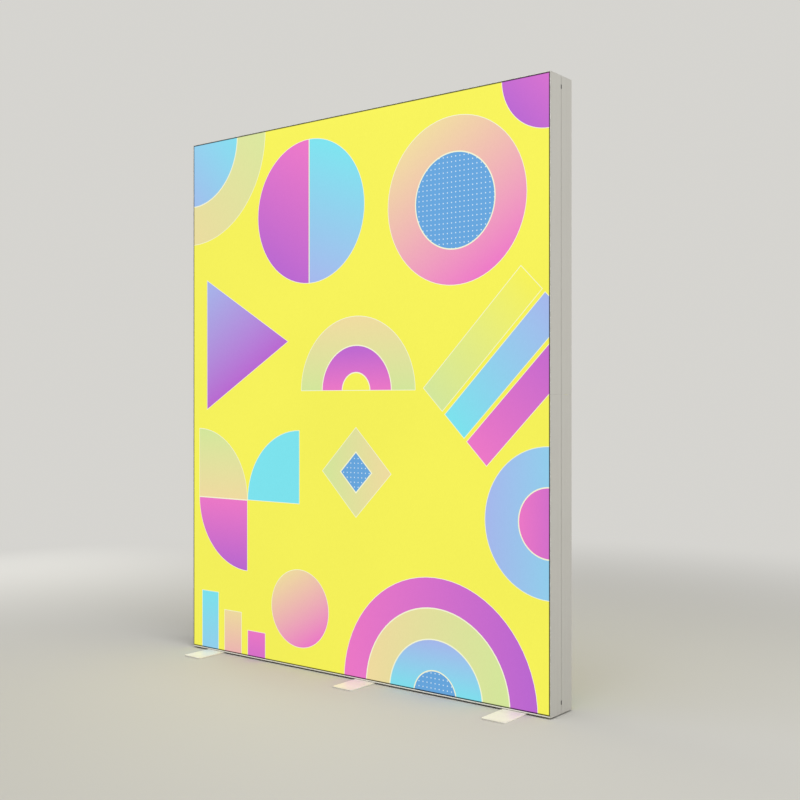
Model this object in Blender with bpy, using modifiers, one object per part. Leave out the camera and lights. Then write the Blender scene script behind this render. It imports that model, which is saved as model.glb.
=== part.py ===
"""Free-standing double-sided lightbox display wall.

A deep mitred aluminium frame holds two printed fabrics by silicone edge strips pressed into grooves.
Light bars stand on the inner faces of the uprights, a driver sits on the bottom rail, and three flat
foot plates carry the wall. +Z is up, the front faces -Y, and the origin lies on the floor under the
middle of the wall. Lengths are in metres.
"""

from math import cos, pi, sin, sqrt

import bmesh
import bpy
from mathutils import Matrix, Vector

# Driving dimensions
WALL_WIDTH = 2.05
WALL_HEIGHT = 2.50
WALL_DEPTH = 0.165
FIT_GAP = 0.0003
CUT_OVERRUN = 0.004
JOIN_OVERLAP = 0.0008
WELD_DISTANCE = 0.000003
ARC_STEPS = 4
SCREW_SIDES = 24
ROUND_BEVEL_SHARE = 0.5

# Frame extrusion
SKIN = 0.0025
WEB = 0.002
EDGE_CHAMFER = 0.001
CENTRE_LINE_WIDTH = 0.0018
CENTRE_LINE_DEPTH = 0.001
EDGE_GROOVE_WIDTH = 0.004
EDGE_GROOVE_DEPTH = 0.014
CHAMBER_WIDTH = 0.056
CHAMBER_HEIGHT = 0.022
SEAT_WIDTH = 0.0206
SEAT_HEIGHT = 0.004
SEAT_RIB = 0.0016
HOOK_REACH = 0.0018
HOOK_THICKNESS = 0.0012

# Printed fabrics and their silicone edges
FABRIC_THICKNESS = 0.0004
FABRIC_SETBACK = 0.0002
FABRIC_BEND = 0.0034
EDGE_STRIP_HEIGHT = 0.0098

# Connectors inside the chambers
CONNECTOR_FLANGE = 0.003
CONNECTOR_RIB = 0.004
CORNER_ARM = 0.105
JOINT_CONNECTOR_LENGTH = 0.130
CELL_RADIUS = 0.002

# Spring latches that lock the corner connectors
LATCH_FROM_END = 0.044
SLOT_WIDTH = 0.007
SLOT_LENGTH = 0.018
LATCH_RECESS = 0.001
LATCH_BASE_WIDTH = 0.012
LATCH_BASE_LENGTH = 0.023
LATCH_BASE_THICKNESS = 0.002
LATCH_CELL_LENGTH = 0.030

# Foot plates, pivot screws and nut plates
FOOT_WIDTH = 0.110
FOOT_LENGTH = 0.480
FOOT_THICKNESS = 0.005
FOOT_CORNER = 0.012
FOOT_EDGE = 0.0008
FOOT_FROM_END = 0.165
MIDDLE_FOOT_OFFSET = 0.092
SCREW_RADIUS = 0.004
SCREW_HEAD_RADIUS = 0.008
SCREW_HEAD_RIM = 0.0004
SCREW_TIP_CHAMFER = 0.0008
NUT_PLATE_SIDE = 0.026
NUT_PLATE_THICKNESS = 0.006
SCREW_PAST_NUT = 0.002

# Brace across the middle of the frame
BRACE_SIDE = 0.030
BRACE_WALL = 0.002
BRACE_CORNER = 0.003
SHOE_LENGTH = 0.060
SHOE_WIDTH = 0.050
SHOE_PLATE = 0.004
COLLAR_WALL = 0.003
COLLAR_HEIGHT = 0.035

# Light bars
BOARD_FROM_CORNER = 0.075
BOARD_FROM_MIDDLE = 0.115
BOARD_THICKNESS = 0.0016
PLUG_BLOCK_WIDTH = 0.014
PLUG_BLOCK_LENGTH = 0.012
PLUG_BLOCK_HEIGHT = 0.006
LENS_STRIP_WIDTH = 0.012
LENS_STRIP_THICKNESS = 0.001
LENS_STRIP_MARGIN = 0.020
LENS_RADIUS = 0.0055
LENS_HEIGHT = 0.006
LENS_PITCH = 0.085
LENS_SIDES = 8
LENS_STEPS = 3

# Driver and its tray
DRIVER_FROM_CORNER = 0.165
DRIVER_LENGTH = 0.210
DRIVER_WIDTH = 0.060
DRIVER_HEIGHT = 0.034
DRIVER_FIN_COUNT = 7
DRIVER_FIN_DEPTH = 0.003
DRIVER_CAP_LENGTH = 0.012
DRIVER_SIDE_STEP = 0.0015
GLAND_RADIUS = 0.006
GLAND_LENGTH = 0.012
GLAND_SIDES = 8
OUTPUT_SPREAD = 0.013
TRAY_THICKNESS = 0.002
TRAY_FLANGE = 0.012
TRAY_MARGIN = 0.012

# Mains inlet with fuse drawer and rocker, on the left side near the bottom
INLET_HEIGHT_UP = 0.300
INLET_BODY_WIDTH = 0.027
INLET_DEPTH = 0.030
INLET_WALL = 0.0022
INLET_CORNER = 0.002
INLET_FLANGE_WIDTH = 0.032
INLET_FLANGE_EAR = 0.006
INLET_FLANGE_THICKNESS = 0.002
SOCKET_WIDTH = 0.0224
SOCKET_HEIGHT = 0.0164
SOCKET_CHAMFER = 0.005
SOCKET_DEPTH = 0.015
BLADE_WIDTH = 0.002
BLADE_HEIGHT = 0.004
BLADE_SPACING = 0.007
BLADE_OFFSET = 0.002
BLADE_RECESS = 0.0046
DRAWER_WIDTH = 0.0208
DRAWER_HEIGHT = 0.0064
DRAWER_LENGTH = 0.020
DRAWER_NOTCH_WIDTH = 0.008
DRAWER_NOTCH_HEIGHT = 0.0028
DRAWER_NOTCH_DEPTH = 0.003
ROCKER_RADIUS = 0.0063
ROCKER_WIDTH = 0.0190
ROCKER_PIVOT_DEPTH = 0.005
ROCKER_DISH = 0.0010
ROCKER_HIGH_ANGLE = 0.34
ROCKER_LOW_ANGLE = 0.06

# Cables clipped inside the frame
MAINS_CABLE_RADIUS = 0.003
LED_CABLE_RADIUS = 0.002
CABLE_LANE = 0.047
CABLE_REST = 0.001
CABLE_BEND = 0.030
CABLE_RISE = 0.006
CABLE_BOW = 0.020

# Places of the cables' bends, as shares of the lengths that they run along
MAINS_BEND_SHARES = ((0.45, 0.9, 0.7), (0.55, 0.5, 0.25))
RISER_BEND_SHARES = ((0.6, 0.85), (0.8, 0.3))
LED_BEND_SHARES = (0.75, 0.6)

# Sizes that follow from the ones above
BASE = FOOT_THICKNESS + FIT_GAP
MIDDLE = BASE + WALL_HEIGHT / 2
INNER_FACE = SKIN + CHAMBER_HEIGHT + WEB
SEAT_TOP = INNER_FACE + SEAT_HEIGHT
TIP_SETBACK = FABRIC_SETBACK + FABRIC_THICKNESS + FIT_GAP
GROOVE_INNER = SKIN + EDGE_GROOVE_WIDTH
CONNECTOR_BACK = SKIN + FIT_GAP
CONNECTOR_FRONT = SKIN + CHAMBER_HEIGHT - FIT_GAP
CONNECTOR_DEPTH = CHAMBER_WIDTH - 2 * FIT_GAP
BOARD_LENGTH = WALL_HEIGHT / 2 - BOARD_FROM_CORNER - BOARD_FROM_MIDDLE
LENS_COUNT = round((BOARD_LENGTH - 2 * LENS_STRIP_MARGIN) / LENS_PITCH)
BOARD_TOP = INNER_FACE + FIT_GAP + BOARD_THICKNESS
PLUG_BLOCK_MIDDLE = BOARD_TOP + PLUG_BLOCK_HEIGHT / 2
INLET_HEIGHT = SOCKET_HEIGHT + DRAWER_HEIGHT + 2 * ROCKER_RADIUS + 4 * FIT_GAP + 4 * INLET_WALL
INLET_ACROSS = (CHAMBER_WIDTH / 2 + WALL_DEPTH / 2 - EDGE_GROOVE_DEPTH) / 2
TRAY_BACK = SEAT_TOP + FIT_GAP
DRIVER_BACK = TRAY_BACK + TRAY_THICKNESS + FIT_GAP
DRIVER_MIDDLE = DRIVER_BACK + DRIVER_HEIGHT / 2

ACROSS = Vector((0, 1, 0))
EAST = Vector((1, 0, 0))
UP = Vector((0, 0, 1))


class Side:
    """One side of the frame: a point on its outer face, the way inwards and the way along it."""

    def __init__(self, name, face, inward, along, length):
        self.name = name
        self.face = face
        self.inward = inward
        self.along = along
        self.length = length

    def at(self, along, across, inward):
        return self.face + self.along * along + ACROSS * across + self.inward * inward


LEFT = Side("left", Vector((-WALL_WIDTH / 2, 0, MIDDLE)), EAST, UP, WALL_HEIGHT)
RIGHT = Side("right", Vector((WALL_WIDTH / 2, 0, MIDDLE)), -EAST, UP, WALL_HEIGHT)
BOTTOM = Side("bottom", Vector((0, 0, BASE)), UP, EAST, WALL_WIDTH)
TOP = Side("top", Vector((0, 0, BASE + WALL_HEIGHT)), -UP, EAST, WALL_WIDTH)
SIDES = (LEFT, RIGHT, BOTTOM, TOP)
END_NAMES = {"left": ("lower", "upper"), "right": ("lower", "upper")}
END_NAMES |= {"bottom": ("left", "right"), "top": ("left", "right")}


def clear_scene():
    for old in list(bpy.data.objects):
        bpy.data.objects.remove(old, do_unlink=True)


def new_collection(name):
    collection = bpy.data.collections.new(name)
    bpy.context.scene.collection.children.link(collection)
    return collection


def material(name, colour, roughness, metallic=0.0):
    made = bpy.data.materials.new(name)
    made.use_nodes = True
    shader = made.node_tree.nodes["Principled BSDF"]
    shader.inputs["Base Color"].default_value = (*colour, 1)
    shader.inputs["Roughness"].default_value = roughness
    shader.inputs["Metallic"].default_value = metallic
    return made


def add_object(name, mesh, surface, collection):
    made = bpy.data.objects.new(name, mesh)
    collection.objects.link(made)
    if surface is not None and not mesh.materials:
        mesh.materials.append(surface)
    return made


def add_part(name, mesh, surface):
    return add_object(name, mesh, surface, PARTS)


def add_cutter(name, mesh):
    made = add_object(name, mesh, None, CUTTERS)
    made.hide_render = True
    made.display_type = "WIRE"
    return made


def place(made, origin, x_way, y_way):
    """Puts an object at origin with its local X and Y along the given ways."""
    turn = Matrix((x_way, y_way, x_way.cross(y_way))).transposed()
    made.location = origin
    made.rotation_euler = turn.to_euler()
    return made


def evaluated_mesh(made):
    bpy.context.view_layer.update()
    graph = bpy.context.evaluated_depsgraph_get()
    return bpy.data.meshes.new_from_object(made.evaluated_get(graph))


def baked(made):
    """The object's mesh with its modifiers and place applied; the object goes."""
    mesh = evaluated_mesh(made)
    mesh.transform(made.matrix_world)
    bpy.data.objects.remove(made, do_unlink=True)
    return mesh


def curve_mesh(curve):
    """The closed mesh of a curve: its caps welded to its sides, and open ends filled."""
    guide = add_object(curve.name, curve, None, CUTTERS)
    mesh = evaluated_mesh(guide)
    bpy.data.objects.remove(guide, do_unlink=True)
    work = bmesh.new()
    work.from_mesh(mesh)
    bmesh.ops.remove_doubles(work, verts=work.verts, dist=WELD_DISTANCE)
    bmesh.ops.holes_fill(work, edges=[edge for edge in work.edges if edge.is_boundary], sides=0)
    bmesh.ops.recalc_face_normals(work, faces=work.faces)
    work.to_mesh(mesh)
    work.free()
    return mesh


def extruded(name, outline, thickness, holes=()):
    """A flat outline given a thickness along its local Z, with further outlines cut through it."""
    curve = bpy.data.curves.new(name, "CURVE")
    curve.dimensions = "2D"
    curve.fill_mode = "NONE"
    curve.extrude = thickness / 2
    spline = curve.splines.new("POLY")
    spline.points.add(len(outline) - 1)
    for point, (x, y) in zip(spline.points, outline):
        point.co = (x, y, 0, 1)
    spline.use_cyclic_u = True
    mesh = curve_mesh(curve)
    if not holes:
        return mesh
    longer = thickness + 2 * CUT_OVERRUN
    return combined(name, mesh, cuts=[extruded(f"{name}_hole", hole, longer) for hole in holes])


def box_loop(x0, y0, x1, y1):
    return [(x0, y0), (x1, y0), (x1, y1), (x0, y1)]


def rounded_loop(x0, y0, x1, y1, radius):
    """A rectangle with round corners."""
    centres = ((x1 - radius, y1 - radius), (x0 + radius, y1 - radius))
    centres += ((x0 + radius, y0 + radius), (x1 - radius, y0 + radius))
    loop = []
    for corner, (x, y) in enumerate(centres):
        for step in range(ARC_STEPS + 1):
            angle = pi / 2 * (corner + step / ARC_STEPS)
            loop.append((x + radius * cos(angle), y + radius * sin(angle)))
    return loop


def stadium_loop(width, length):
    """A slot outline, long along local Y, with round ends."""
    radius = width / 2
    loop = []
    for end, middle in ((0, length / 2 - radius), (1, radius - length / 2)):
        for step in range(2 * ARC_STEPS + 1):
            angle = pi * (end + step / (2 * ARC_STEPS))
            loop.append((radius * cos(angle), middle + radius * sin(angle)))
    return loop


def turned(name, profile, steps):
    """A solid of revolution about local Z; the profile runs down its outer side from top to bottom."""
    mesh = bpy.data.meshes.new(name)
    edges = [(index, index + 1) for index in range(len(profile) - 1)]
    mesh.from_pydata([(radius, 0, height) for radius, height in profile], edges, [])
    guide = add_object(name, mesh, None, CUTTERS)
    screw = guide.modifiers.new("Turn", "SCREW")
    screw.axis = "Z"
    screw.steps = steps
    screw.render_steps = steps
    screw.use_merge_vertices = True
    screw.merge_threshold = WELD_DISTANCE
    return baked(guide)


def box_mesh(name, low, high):
    """A box between two corners, from a cube primitive."""
    work = bmesh.new()
    bmesh.ops.create_cube(work, size=1)
    low, high = Vector(low), Vector(high)
    bmesh.ops.scale(work, vec=high - low, verts=work.verts)
    bmesh.ops.translate(work, vec=(low + high) / 2, verts=work.verts)
    mesh = bpy.data.meshes.new(name)
    work.to_mesh(mesh)
    work.free()
    return mesh


def gathered(name, pieces):
    """One mesh that holds several, each moved by its matrix."""
    work = bmesh.new()
    for mesh, matrix in pieces:
        placed = mesh.copy()
        placed.transform(matrix)
        work.from_mesh(placed)
        bpy.data.meshes.remove(placed)
    joined = bpy.data.meshes.new(name)
    work.to_mesh(joined)
    work.free()
    return joined


def boolean(made, operation, others):
    """Cuts other objects from this one or joins them to it."""
    for other in others:
        modifier = made.modifiers.new(other.name, "BOOLEAN")
        modifier.operation = operation
        modifier.solver = "EXACT"
        modifier.object = other
    return made


def combined(name, mesh, additions=(), cuts=(), late_additions=()):
    """A mesh with others joined to it, others cut from it and others joined after the cuts."""
    made = add_object(name, mesh, None, CUTTERS)
    steps = (("UNION", additions), ("DIFFERENCE", cuts), ("UNION", late_additions))
    for stage, (operation, meshes) in enumerate(steps):
        tools = [add_cutter(f"{name}_{stage}_{index}", other) for index, other in enumerate(meshes)]
        boolean(made, operation, tools)
    result = baked(made)
    for stage, (_, meshes) in enumerate(steps):
        for index in range(len(meshes)):
            tool = bpy.data.objects[f"{name}_{stage}_{index}"]
            bpy.data.objects.remove(tool, do_unlink=True)
    return result


def soften(mesh, angle=pi / 5):
    """Smooth shading with the real edges kept sharp."""
    mesh.shade_smooth()
    mesh.set_sharp_from_angle(angle=angle)
    return mesh


def profile_loop():
    """The extrusion's section: X runs across the depth, Y inwards from the outer face."""
    half = WALL_DEPTH / 2
    line = CENTRE_LINE_WIDTH / 2
    floor = half - EDGE_GROOVE_DEPTH
    chamber = CHAMBER_WIDTH / 2
    seat = SEAT_WIDTH / 2
    hook = SEAT_TOP - HOOK_THICKNESS
    right = [
        (line, CENTRE_LINE_DEPTH),
        (line, 0),
        (half - EDGE_CHAMFER, 0),
        (half, EDGE_CHAMFER),
        (half, SKIN),
        (floor, SKIN),
        (floor, GROOVE_INNER),
        (half - TIP_SETBACK, GROOVE_INNER),
        (half - TIP_SETBACK, GROOVE_INNER + WEB),
        (floor - WEB, GROOVE_INNER + WEB),
        (floor - WEB, SKIN),
        (chamber + WEB, SKIN),
        (chamber + WEB, INNER_FACE),
        (seat + SEAT_RIB, INNER_FACE),
        (seat + SEAT_RIB, SEAT_TOP),
        (seat - HOOK_REACH, SEAT_TOP),
        (seat - HOOK_REACH, hook),
        (seat, hook),
        (seat, INNER_FACE),
    ]
    left = [(-x, y) for x, y in reversed(right)]
    return right + left


def mitre_loop():
    """The wedge beyond a mitre: X runs along the side from the corner, Y inwards."""
    setback = FIT_GAP / sqrt(2)
    reach = SEAT_TOP + CUT_OVERRUN
    return [
        (setback - CUT_OVERRUN, -CUT_OVERRUN),
        (setback + reach, reach),
        (-2 * CUT_OVERRUN, reach),
        (-2 * CUT_OVERRUN, -CUT_OVERRUN),
    ]


def cut_mitre(profile, side, way):
    wedge = extruded(f"{profile.name}_mitre", mitre_loop(), WALL_DEPTH + 2 * CUT_OVERRUN)
    cutter = add_cutter(f"{profile.name}_mitre", wedge)
    place(cutter, side.at(way * side.length / 2, 0, 0), side.along * -way, side.inward)
    boolean(profile, "DIFFERENCE", [cutter])


def cut_outer_wall(profile, side, along, across, loop, name):
    """Cuts an outline through the outer wall; the outline's local Y runs along the side."""
    mesh = extruded(name, loop, SKIN + CENTRE_LINE_DEPTH + CUT_OVERRUN)
    cutter = add_cutter(name, mesh)
    place(cutter, side.at(along, across, 0), ACROSS, side.along)
    boolean(profile, "DIFFERENCE", [cutter])


def add_profile(side, way):
    """Half a side of the frame, from its mitre to the joint at the middle of the side."""
    end = END_NAMES[side.name][way > 0]
    length = side.length / 2 - FIT_GAP / 2
    name = f"profile_{side.name}_{end}"
    chamber = box_loop(-CHAMBER_WIDTH / 2, SKIN, CHAMBER_WIDTH / 2, SKIN + CHAMBER_HEIGHT)
    mesh = extruded(name, profile_loop(), length, [chamber])
    profile = add_part(name, mesh, PROFILE_PAINT)
    place(profile, side.at(way * (side.length - length) / 2, 0, 0), ACROSS, side.inward)
    cut_mitre(profile, side, way)
    slot_at = way * (side.length / 2 - LATCH_FROM_END)
    slot = stadium_loop(SLOT_WIDTH, SLOT_LENGTH)
    cut_outer_wall(profile, side, slot_at, 0, slot, f"{name}_latch_slot")
    return profile


def add_profiles():
    profiles = {(side.name, way): add_profile(side, way) for side in SIDES for way in (-1, 1)}
    hole = 2 * (SCREW_RADIUS + FIT_GAP)
    for index, x in enumerate(foot_places()):
        profile = profiles["bottom", 1 if x > 0 else -1]
        loop = stadium_loop(hole, hole + FIT_GAP)
        cut_outer_wall(profile, BOTTOM, x, 0, loop, f"foot_screw_hole_{index}")
    half_width = INLET_BODY_WIDTH / 2 + FIT_GAP
    half_height = INLET_HEIGHT / 2 + FIT_GAP
    radius = INLET_CORNER + FIT_GAP
    loop = rounded_loop(-half_width, -half_height, half_width, half_height, radius)
    up = INLET_HEIGHT_UP - WALL_HEIGHT / 2
    cut_outer_wall(profiles["left", -1], LEFT, up, INLET_ACROSS, loop, "inlet_cutout")


def cell(start, end):
    """A through cell of a connector between two places along it."""
    low = CONNECTOR_BACK + CONNECTOR_FLANGE
    high = CONNECTOR_FRONT - CONNECTOR_FLANGE
    return rounded_loop(start, low, end, high, CELL_RADIUS)


def corner_connector_mesh():
    """An L cut from a celled bar; X and Y run along its arms from the frame's outer corner."""
    back, front = CONNECTOR_BACK, CONNECTOR_FRONT
    bent = [(back, back), (CORNER_ARM, back), (CORNER_ARM, front), (front, front)]
    bent += [(front, CORNER_ARM), (back, CORNER_ARM)]
    latch_start = LATCH_FROM_END - LATCH_CELL_LENGTH / 2
    latch_end = LATCH_FROM_END + LATCH_CELL_LENGTH / 2
    outer = cell(latch_end + CONNECTOR_RIB, CORNER_ARM - CONNECTOR_RIB)
    arm = [cell(latch_start, latch_end), outer]
    rest = [[(y, x) for x, y in loop] for loop in arm]
    knuckle = cell(CONNECTOR_BACK + CONNECTOR_FLANGE, CONNECTOR_FRONT - CONNECTOR_FLANGE)
    bar = extruded("corner_connector", bent, CONNECTOR_DEPTH, [knuckle] + arm + rest)
    depth = 2 * CONNECTOR_FLANGE + CUT_OVERRUN
    hole = extruded("latch_hole", stadium_loop(SLOT_WIDTH, SLOT_LENGTH), depth)
    along_x = Matrix((-UP, EAST, -ACROSS)).transposed().to_4x4()
    along_y = Matrix((-UP, ACROSS, EAST)).transposed().to_4x4()
    hole_x = hole.copy()
    hole_x.transform(Matrix.Translation((LATCH_FROM_END, back, 0)) @ along_x)
    hole_y = hole.copy()
    hole_y.transform(Matrix.Translation((back, LATCH_FROM_END, 0)) @ along_y)
    return combined("corner_connector", bar, cuts=[hole_x, hole_y])


def add_corner_connectors():
    mesh = corner_connector_mesh()
    for level, upright_way in (("bottom", 1), ("top", -1)):
        for hand, rail_way in (("left", 1), ("right", -1)):
            corner = Vector((-rail_way * WALL_WIDTH / 2, 0, MIDDLE - upright_way * WALL_HEIGHT / 2))
            made = add_part(f"corner_connector_{level}_{hand}", mesh, CAST_METAL)
            place(made, corner, EAST * rail_way, UP * upright_way)


def add_joint_connectors():
    half = JOINT_CONNECTOR_LENGTH / 2
    bar = box_loop(-half, CONNECTOR_BACK, half, CONNECTOR_FRONT)
    cells = [
        cell(CONNECTOR_RIB - half, -CONNECTOR_RIB / 2),
        cell(CONNECTOR_RIB / 2, half - CONNECTOR_RIB),
    ]
    mesh = extruded("joint_connector", bar, CONNECTOR_DEPTH, cells)
    for side in SIDES:
        made = add_part(f"joint_connector_{side.name}", mesh, CAST_METAL)
        place(made, side.at(0, 0, 0), side.along, side.inward)


def latch_mesh():
    """A stadium button on a wider base; local Z runs inwards from the frame's outer face."""
    base_back = CONNECTOR_BACK + CONNECTOR_FLANGE + FIT_GAP
    stem_length = base_back + JOIN_OVERLAP - LATCH_RECESS
    stem_loop = stadium_loop(SLOT_WIDTH - 2 * FIT_GAP, SLOT_LENGTH - 2 * FIT_GAP)
    stem = extruded("latch_stem", stem_loop, stem_length)
    stem.transform(Matrix.Translation((0, 0, LATCH_RECESS + stem_length / 2)))
    half_width, half_length = LATCH_BASE_WIDTH / 2, LATCH_BASE_LENGTH / 2
    base_loop = rounded_loop(-half_width, -half_length, half_width, half_length, CELL_RADIUS)
    base = extruded("latch_base", base_loop, LATCH_BASE_THICKNESS)
    base.transform(Matrix.Translation((0, 0, base_back + LATCH_BASE_THICKNESS / 2)))
    return combined("latch", base, additions=[stem])


def add_latches():
    mesh = soften(latch_mesh())
    for side in SIDES:
        for way in (-1, 1):
            end = END_NAMES[side.name][way > 0]
            made = add_part(f"latch_{side.name}_{end}", mesh, LATCH_STEEL)
            place_at = side.at(way * (side.length / 2 - LATCH_FROM_END), 0, 0)
            y_way = side.along if ACROSS.cross(side.along).dot(side.inward) > 0 else -side.along
            place(made, place_at, ACROSS, y_way)


def fabric_mesh(name):
    """A flat face with its hem turned back into the groove; local Y runs back from the face."""
    half_width = WALL_WIDTH / 2 - SKIN - FIT_GAP
    half_height = WALL_HEIGHT / 2 - SKIN - FIT_GAP
    back = FABRIC_SETBACK + FABRIC_BEND + EDGE_STRIP_HEIGHT
    mesh = box_mesh(name, (-half_width, FABRIC_SETBACK, -half_height), (half_width, back, half_height))
    work = bmesh.new()
    work.from_mesh(mesh)
    work.faces.ensure_lookup_table()
    open_faces = [face for face in work.faces if round(face.normal.y) == 1]
    bmesh.ops.delete(work, geom=open_faces, context="FACES")
    front = [face for face in work.faces if round(face.normal.y) == -1]
    bends = list(front[0].edges)
    bmesh.ops.bevel(
        work,
        geom=bends,
        offset=FABRIC_BEND,
        segments=ARC_STEPS,
        profile=ROUND_BEVEL_SHARE,
        affect="EDGES",
    )
    work.to_mesh(mesh)
    work.free()
    return mesh


def add_fabrics():
    for name, way in (("front_graphic", 1), ("rear_graphic", -1)):
        made = add_part(name, fabric_mesh(name), FABRIC_PRINT)
        shell = made.modifiers.new("Cloth", "SOLIDIFY")
        shell.thickness = FABRIC_THICKNESS
        shell.offset = -1
        shell.use_even_offset = True
        face = Vector((0, -way * WALL_DEPTH / 2, MIDDLE))
        place(made, face, EAST * way, ACROSS * way)


def add_edge_strips():
    """Silicone rings inside the hems; real ones are four strips that meet at the corners."""
    outer = SKIN + 2 * FIT_GAP + FABRIC_THICKNESS
    inner = GROOVE_INNER - FIT_GAP
    loops = []
    for inset in (outer, inner):
        half_width = WALL_WIDTH / 2 - inset
        half_height = WALL_HEIGHT / 2 - inset
        loops.append(box_loop(-half_width, -half_height, half_width, half_height))
    mesh = extruded("edge_strip", loops[0], EDGE_STRIP_HEIGHT, loops[1:])
    depth = WALL_DEPTH / 2 - FABRIC_SETBACK - FABRIC_BEND - EDGE_STRIP_HEIGHT / 2
    for name, way in (("front_edge_strip", -1), ("rear_edge_strip", 1)):
        made = add_part(name, mesh, SILICONE)
        place(made, Vector((0, way * depth, MIDDLE)), EAST, UP)


def foot_places():
    outer = WALL_WIDTH / 2 - FOOT_FROM_END
    return (-outer, MIDDLE_FOOT_OFFSET, outer)


def countersunk(clearance, bottom, top, steps):
    """A countersunk screw's turned shape, or the hole for it where clearance is given."""
    radius = SCREW_RADIUS + clearance
    head = SCREW_HEAD_RADIUS + clearance
    rim_top = FIT_GAP + SCREW_HEAD_RIM
    neck = rim_top + head - radius
    tip = SCREW_TIP_CHAMFER if clearance == 0 else 0
    profile = [(0, top), (radius - tip, top), (radius, top - tip)] if tip else [(0, top), (radius, top)]
    profile += [(radius, neck), (head, rim_top), (head, bottom), (0, bottom)]
    return turned("countersunk", profile, steps)


def foot_mesh():
    half_width, half_length = FOOT_WIDTH / 2, FOOT_LENGTH / 2
    loop = rounded_loop(-half_width, -half_length, half_width, half_length, FOOT_CORNER)
    plate = extruded("foot", loop, FOOT_THICKNESS)
    plate.transform(Matrix.Translation((0, 0, FOOT_THICKNESS / 2)))
    guide = add_object("foot_guide", plate, None, CUTTERS)
    weld = guide.modifiers.new("Weld", "WELD")
    weld.merge_threshold = WELD_DISTANCE
    bevel = guide.modifiers.new("Edge", "BEVEL")
    bevel.width = FOOT_EDGE
    bevel.segments = 1
    bevel.limit_method = "ANGLE"
    hole = countersunk(FIT_GAP, -CUT_OVERRUN, FOOT_THICKNESS + CUT_OVERRUN, SCREW_SIDES)
    return combined("foot", baked(guide), cuts=[hole])


def add_feet():
    plate = foot_mesh()
    nut_top = BASE + SKIN + FIT_GAP + NUT_PLATE_THICKNESS
    screw = soften(countersunk(0, FIT_GAP, nut_top + SCREW_PAST_NUT, SCREW_SIDES))
    half = NUT_PLATE_SIDE / 2
    square = rounded_loop(-half, -half, half, half, CELL_RADIUS)
    hole = 2 * (SCREW_RADIUS + FIT_GAP)
    nut = extruded("nut_plate", square, NUT_PLATE_THICKNESS, [stadium_loop(hole, hole + FIT_GAP)])
    for hand, x in zip(("left", "middle", "right"), foot_places()):
        foot = add_part(f"foot_plate_{hand}", plate, FOOT_PAINT)
        foot.location = (x, 0, 0)
        pivot = add_part(f"foot_screw_{hand}", screw, ZINC_STEEL)
        pivot.location = (x, 0, 0)
        holder = add_part(f"foot_nut_plate_{hand}", nut, ZINC_STEEL)
        holder.location = (x, 0, nut_top - NUT_PLATE_THICKNESS / 2)


def key_loop(half_plate, plate_thickness):
    """A plate on the seat's ribs with a T-shaped key in the seat: X across, Y inwards."""
    head = SEAT_WIDTH / 2 - FIT_GAP
    neck = SEAT_WIDTH / 2 - HOOK_REACH - FIT_GAP
    low = INNER_FACE + FIT_GAP
    step = SEAT_TOP - HOOK_THICKNESS - FIT_GAP
    back = SEAT_TOP + FIT_GAP
    right = [(head, low), (head, step), (neck, step), (neck, back), (half_plate, back)]
    right += [(half_plate, back + plate_thickness)]
    return right, [(-x, y) for x, y in reversed(right)]


def shoe_mesh():
    """A keyed plate that carries a square collar; X across, Y inwards, Z along the upright."""
    right, left = key_loop(SHOE_WIDTH / 2, SHOE_PLATE)
    plate = extruded("shoe_plate", right + left, SHOE_LENGTH)
    inner = BRACE_SIDE / 2 + FIT_GAP
    outer = inner + COLLAR_WALL
    radius = BRACE_CORNER + FIT_GAP
    outside = rounded_loop(-outer, -outer, outer, outer, radius + COLLAR_WALL)
    inside = rounded_loop(-inner, -inner, inner, inner, radius)
    collar = extruded("shoe_collar", outside, COLLAR_HEIGHT + JOIN_OVERLAP, [inside])
    top = SEAT_TOP + FIT_GAP + SHOE_PLATE + COLLAR_HEIGHT
    stand = Matrix((EAST, UP, -ACROSS)).transposed().to_4x4()
    middle = top - (COLLAR_HEIGHT + JOIN_OVERLAP) / 2
    collar.transform(Matrix.Translation((0, middle, 0)) @ stand)
    return combined("shoe", plate, additions=[collar])


def add_brace():
    mesh = shoe_mesh()
    for side in (LEFT, RIGHT):
        shoe = add_part(f"brace_shoe_{side.name}", mesh, BLACK_PLASTIC)
        place(shoe, side.at(0, 0, 0), ACROSS, side.inward)
    outer, inner = BRACE_SIDE / 2, BRACE_SIDE / 2 - BRACE_WALL
    outside = rounded_loop(-outer, -outer, outer, outer, BRACE_CORNER)
    inside = rounded_loop(-inner, -inner, inner, inner, BRACE_CORNER - BRACE_WALL)
    length = WALL_WIDTH - 2 * (SEAT_TOP + SHOE_PLATE + 2 * FIT_GAP)
    tube = add_part("brace_tube", extruded("brace_tube", outside, length, [inside]), BARE_ALUMINIUM)
    place(tube, Vector((0, 0, MIDDLE)), ACROSS, UP)


def board_mesh():
    """A metal-core board with a plug block at each end; X across, Y inwards, Z along."""
    half = SEAT_WIDTH / 2 - FIT_GAP
    low = INNER_FACE + FIT_GAP
    end = BOARD_LENGTH / 2
    board = box_mesh("board", (-half, low, -end), (half, BOARD_TOP, end))
    blocks = []
    for way in (-1, 1):
        near, far = way * end, way * (end - PLUG_BLOCK_LENGTH)
        corner = (-PLUG_BLOCK_WIDTH / 2, BOARD_TOP - JOIN_OVERLAP, min(near, far))
        other = (PLUG_BLOCK_WIDTH / 2, BOARD_TOP + PLUG_BLOCK_HEIGHT, max(near, far))
        blocks.append(box_mesh("plug_block", corner, other))
    return combined("board", board, additions=blocks)


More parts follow.
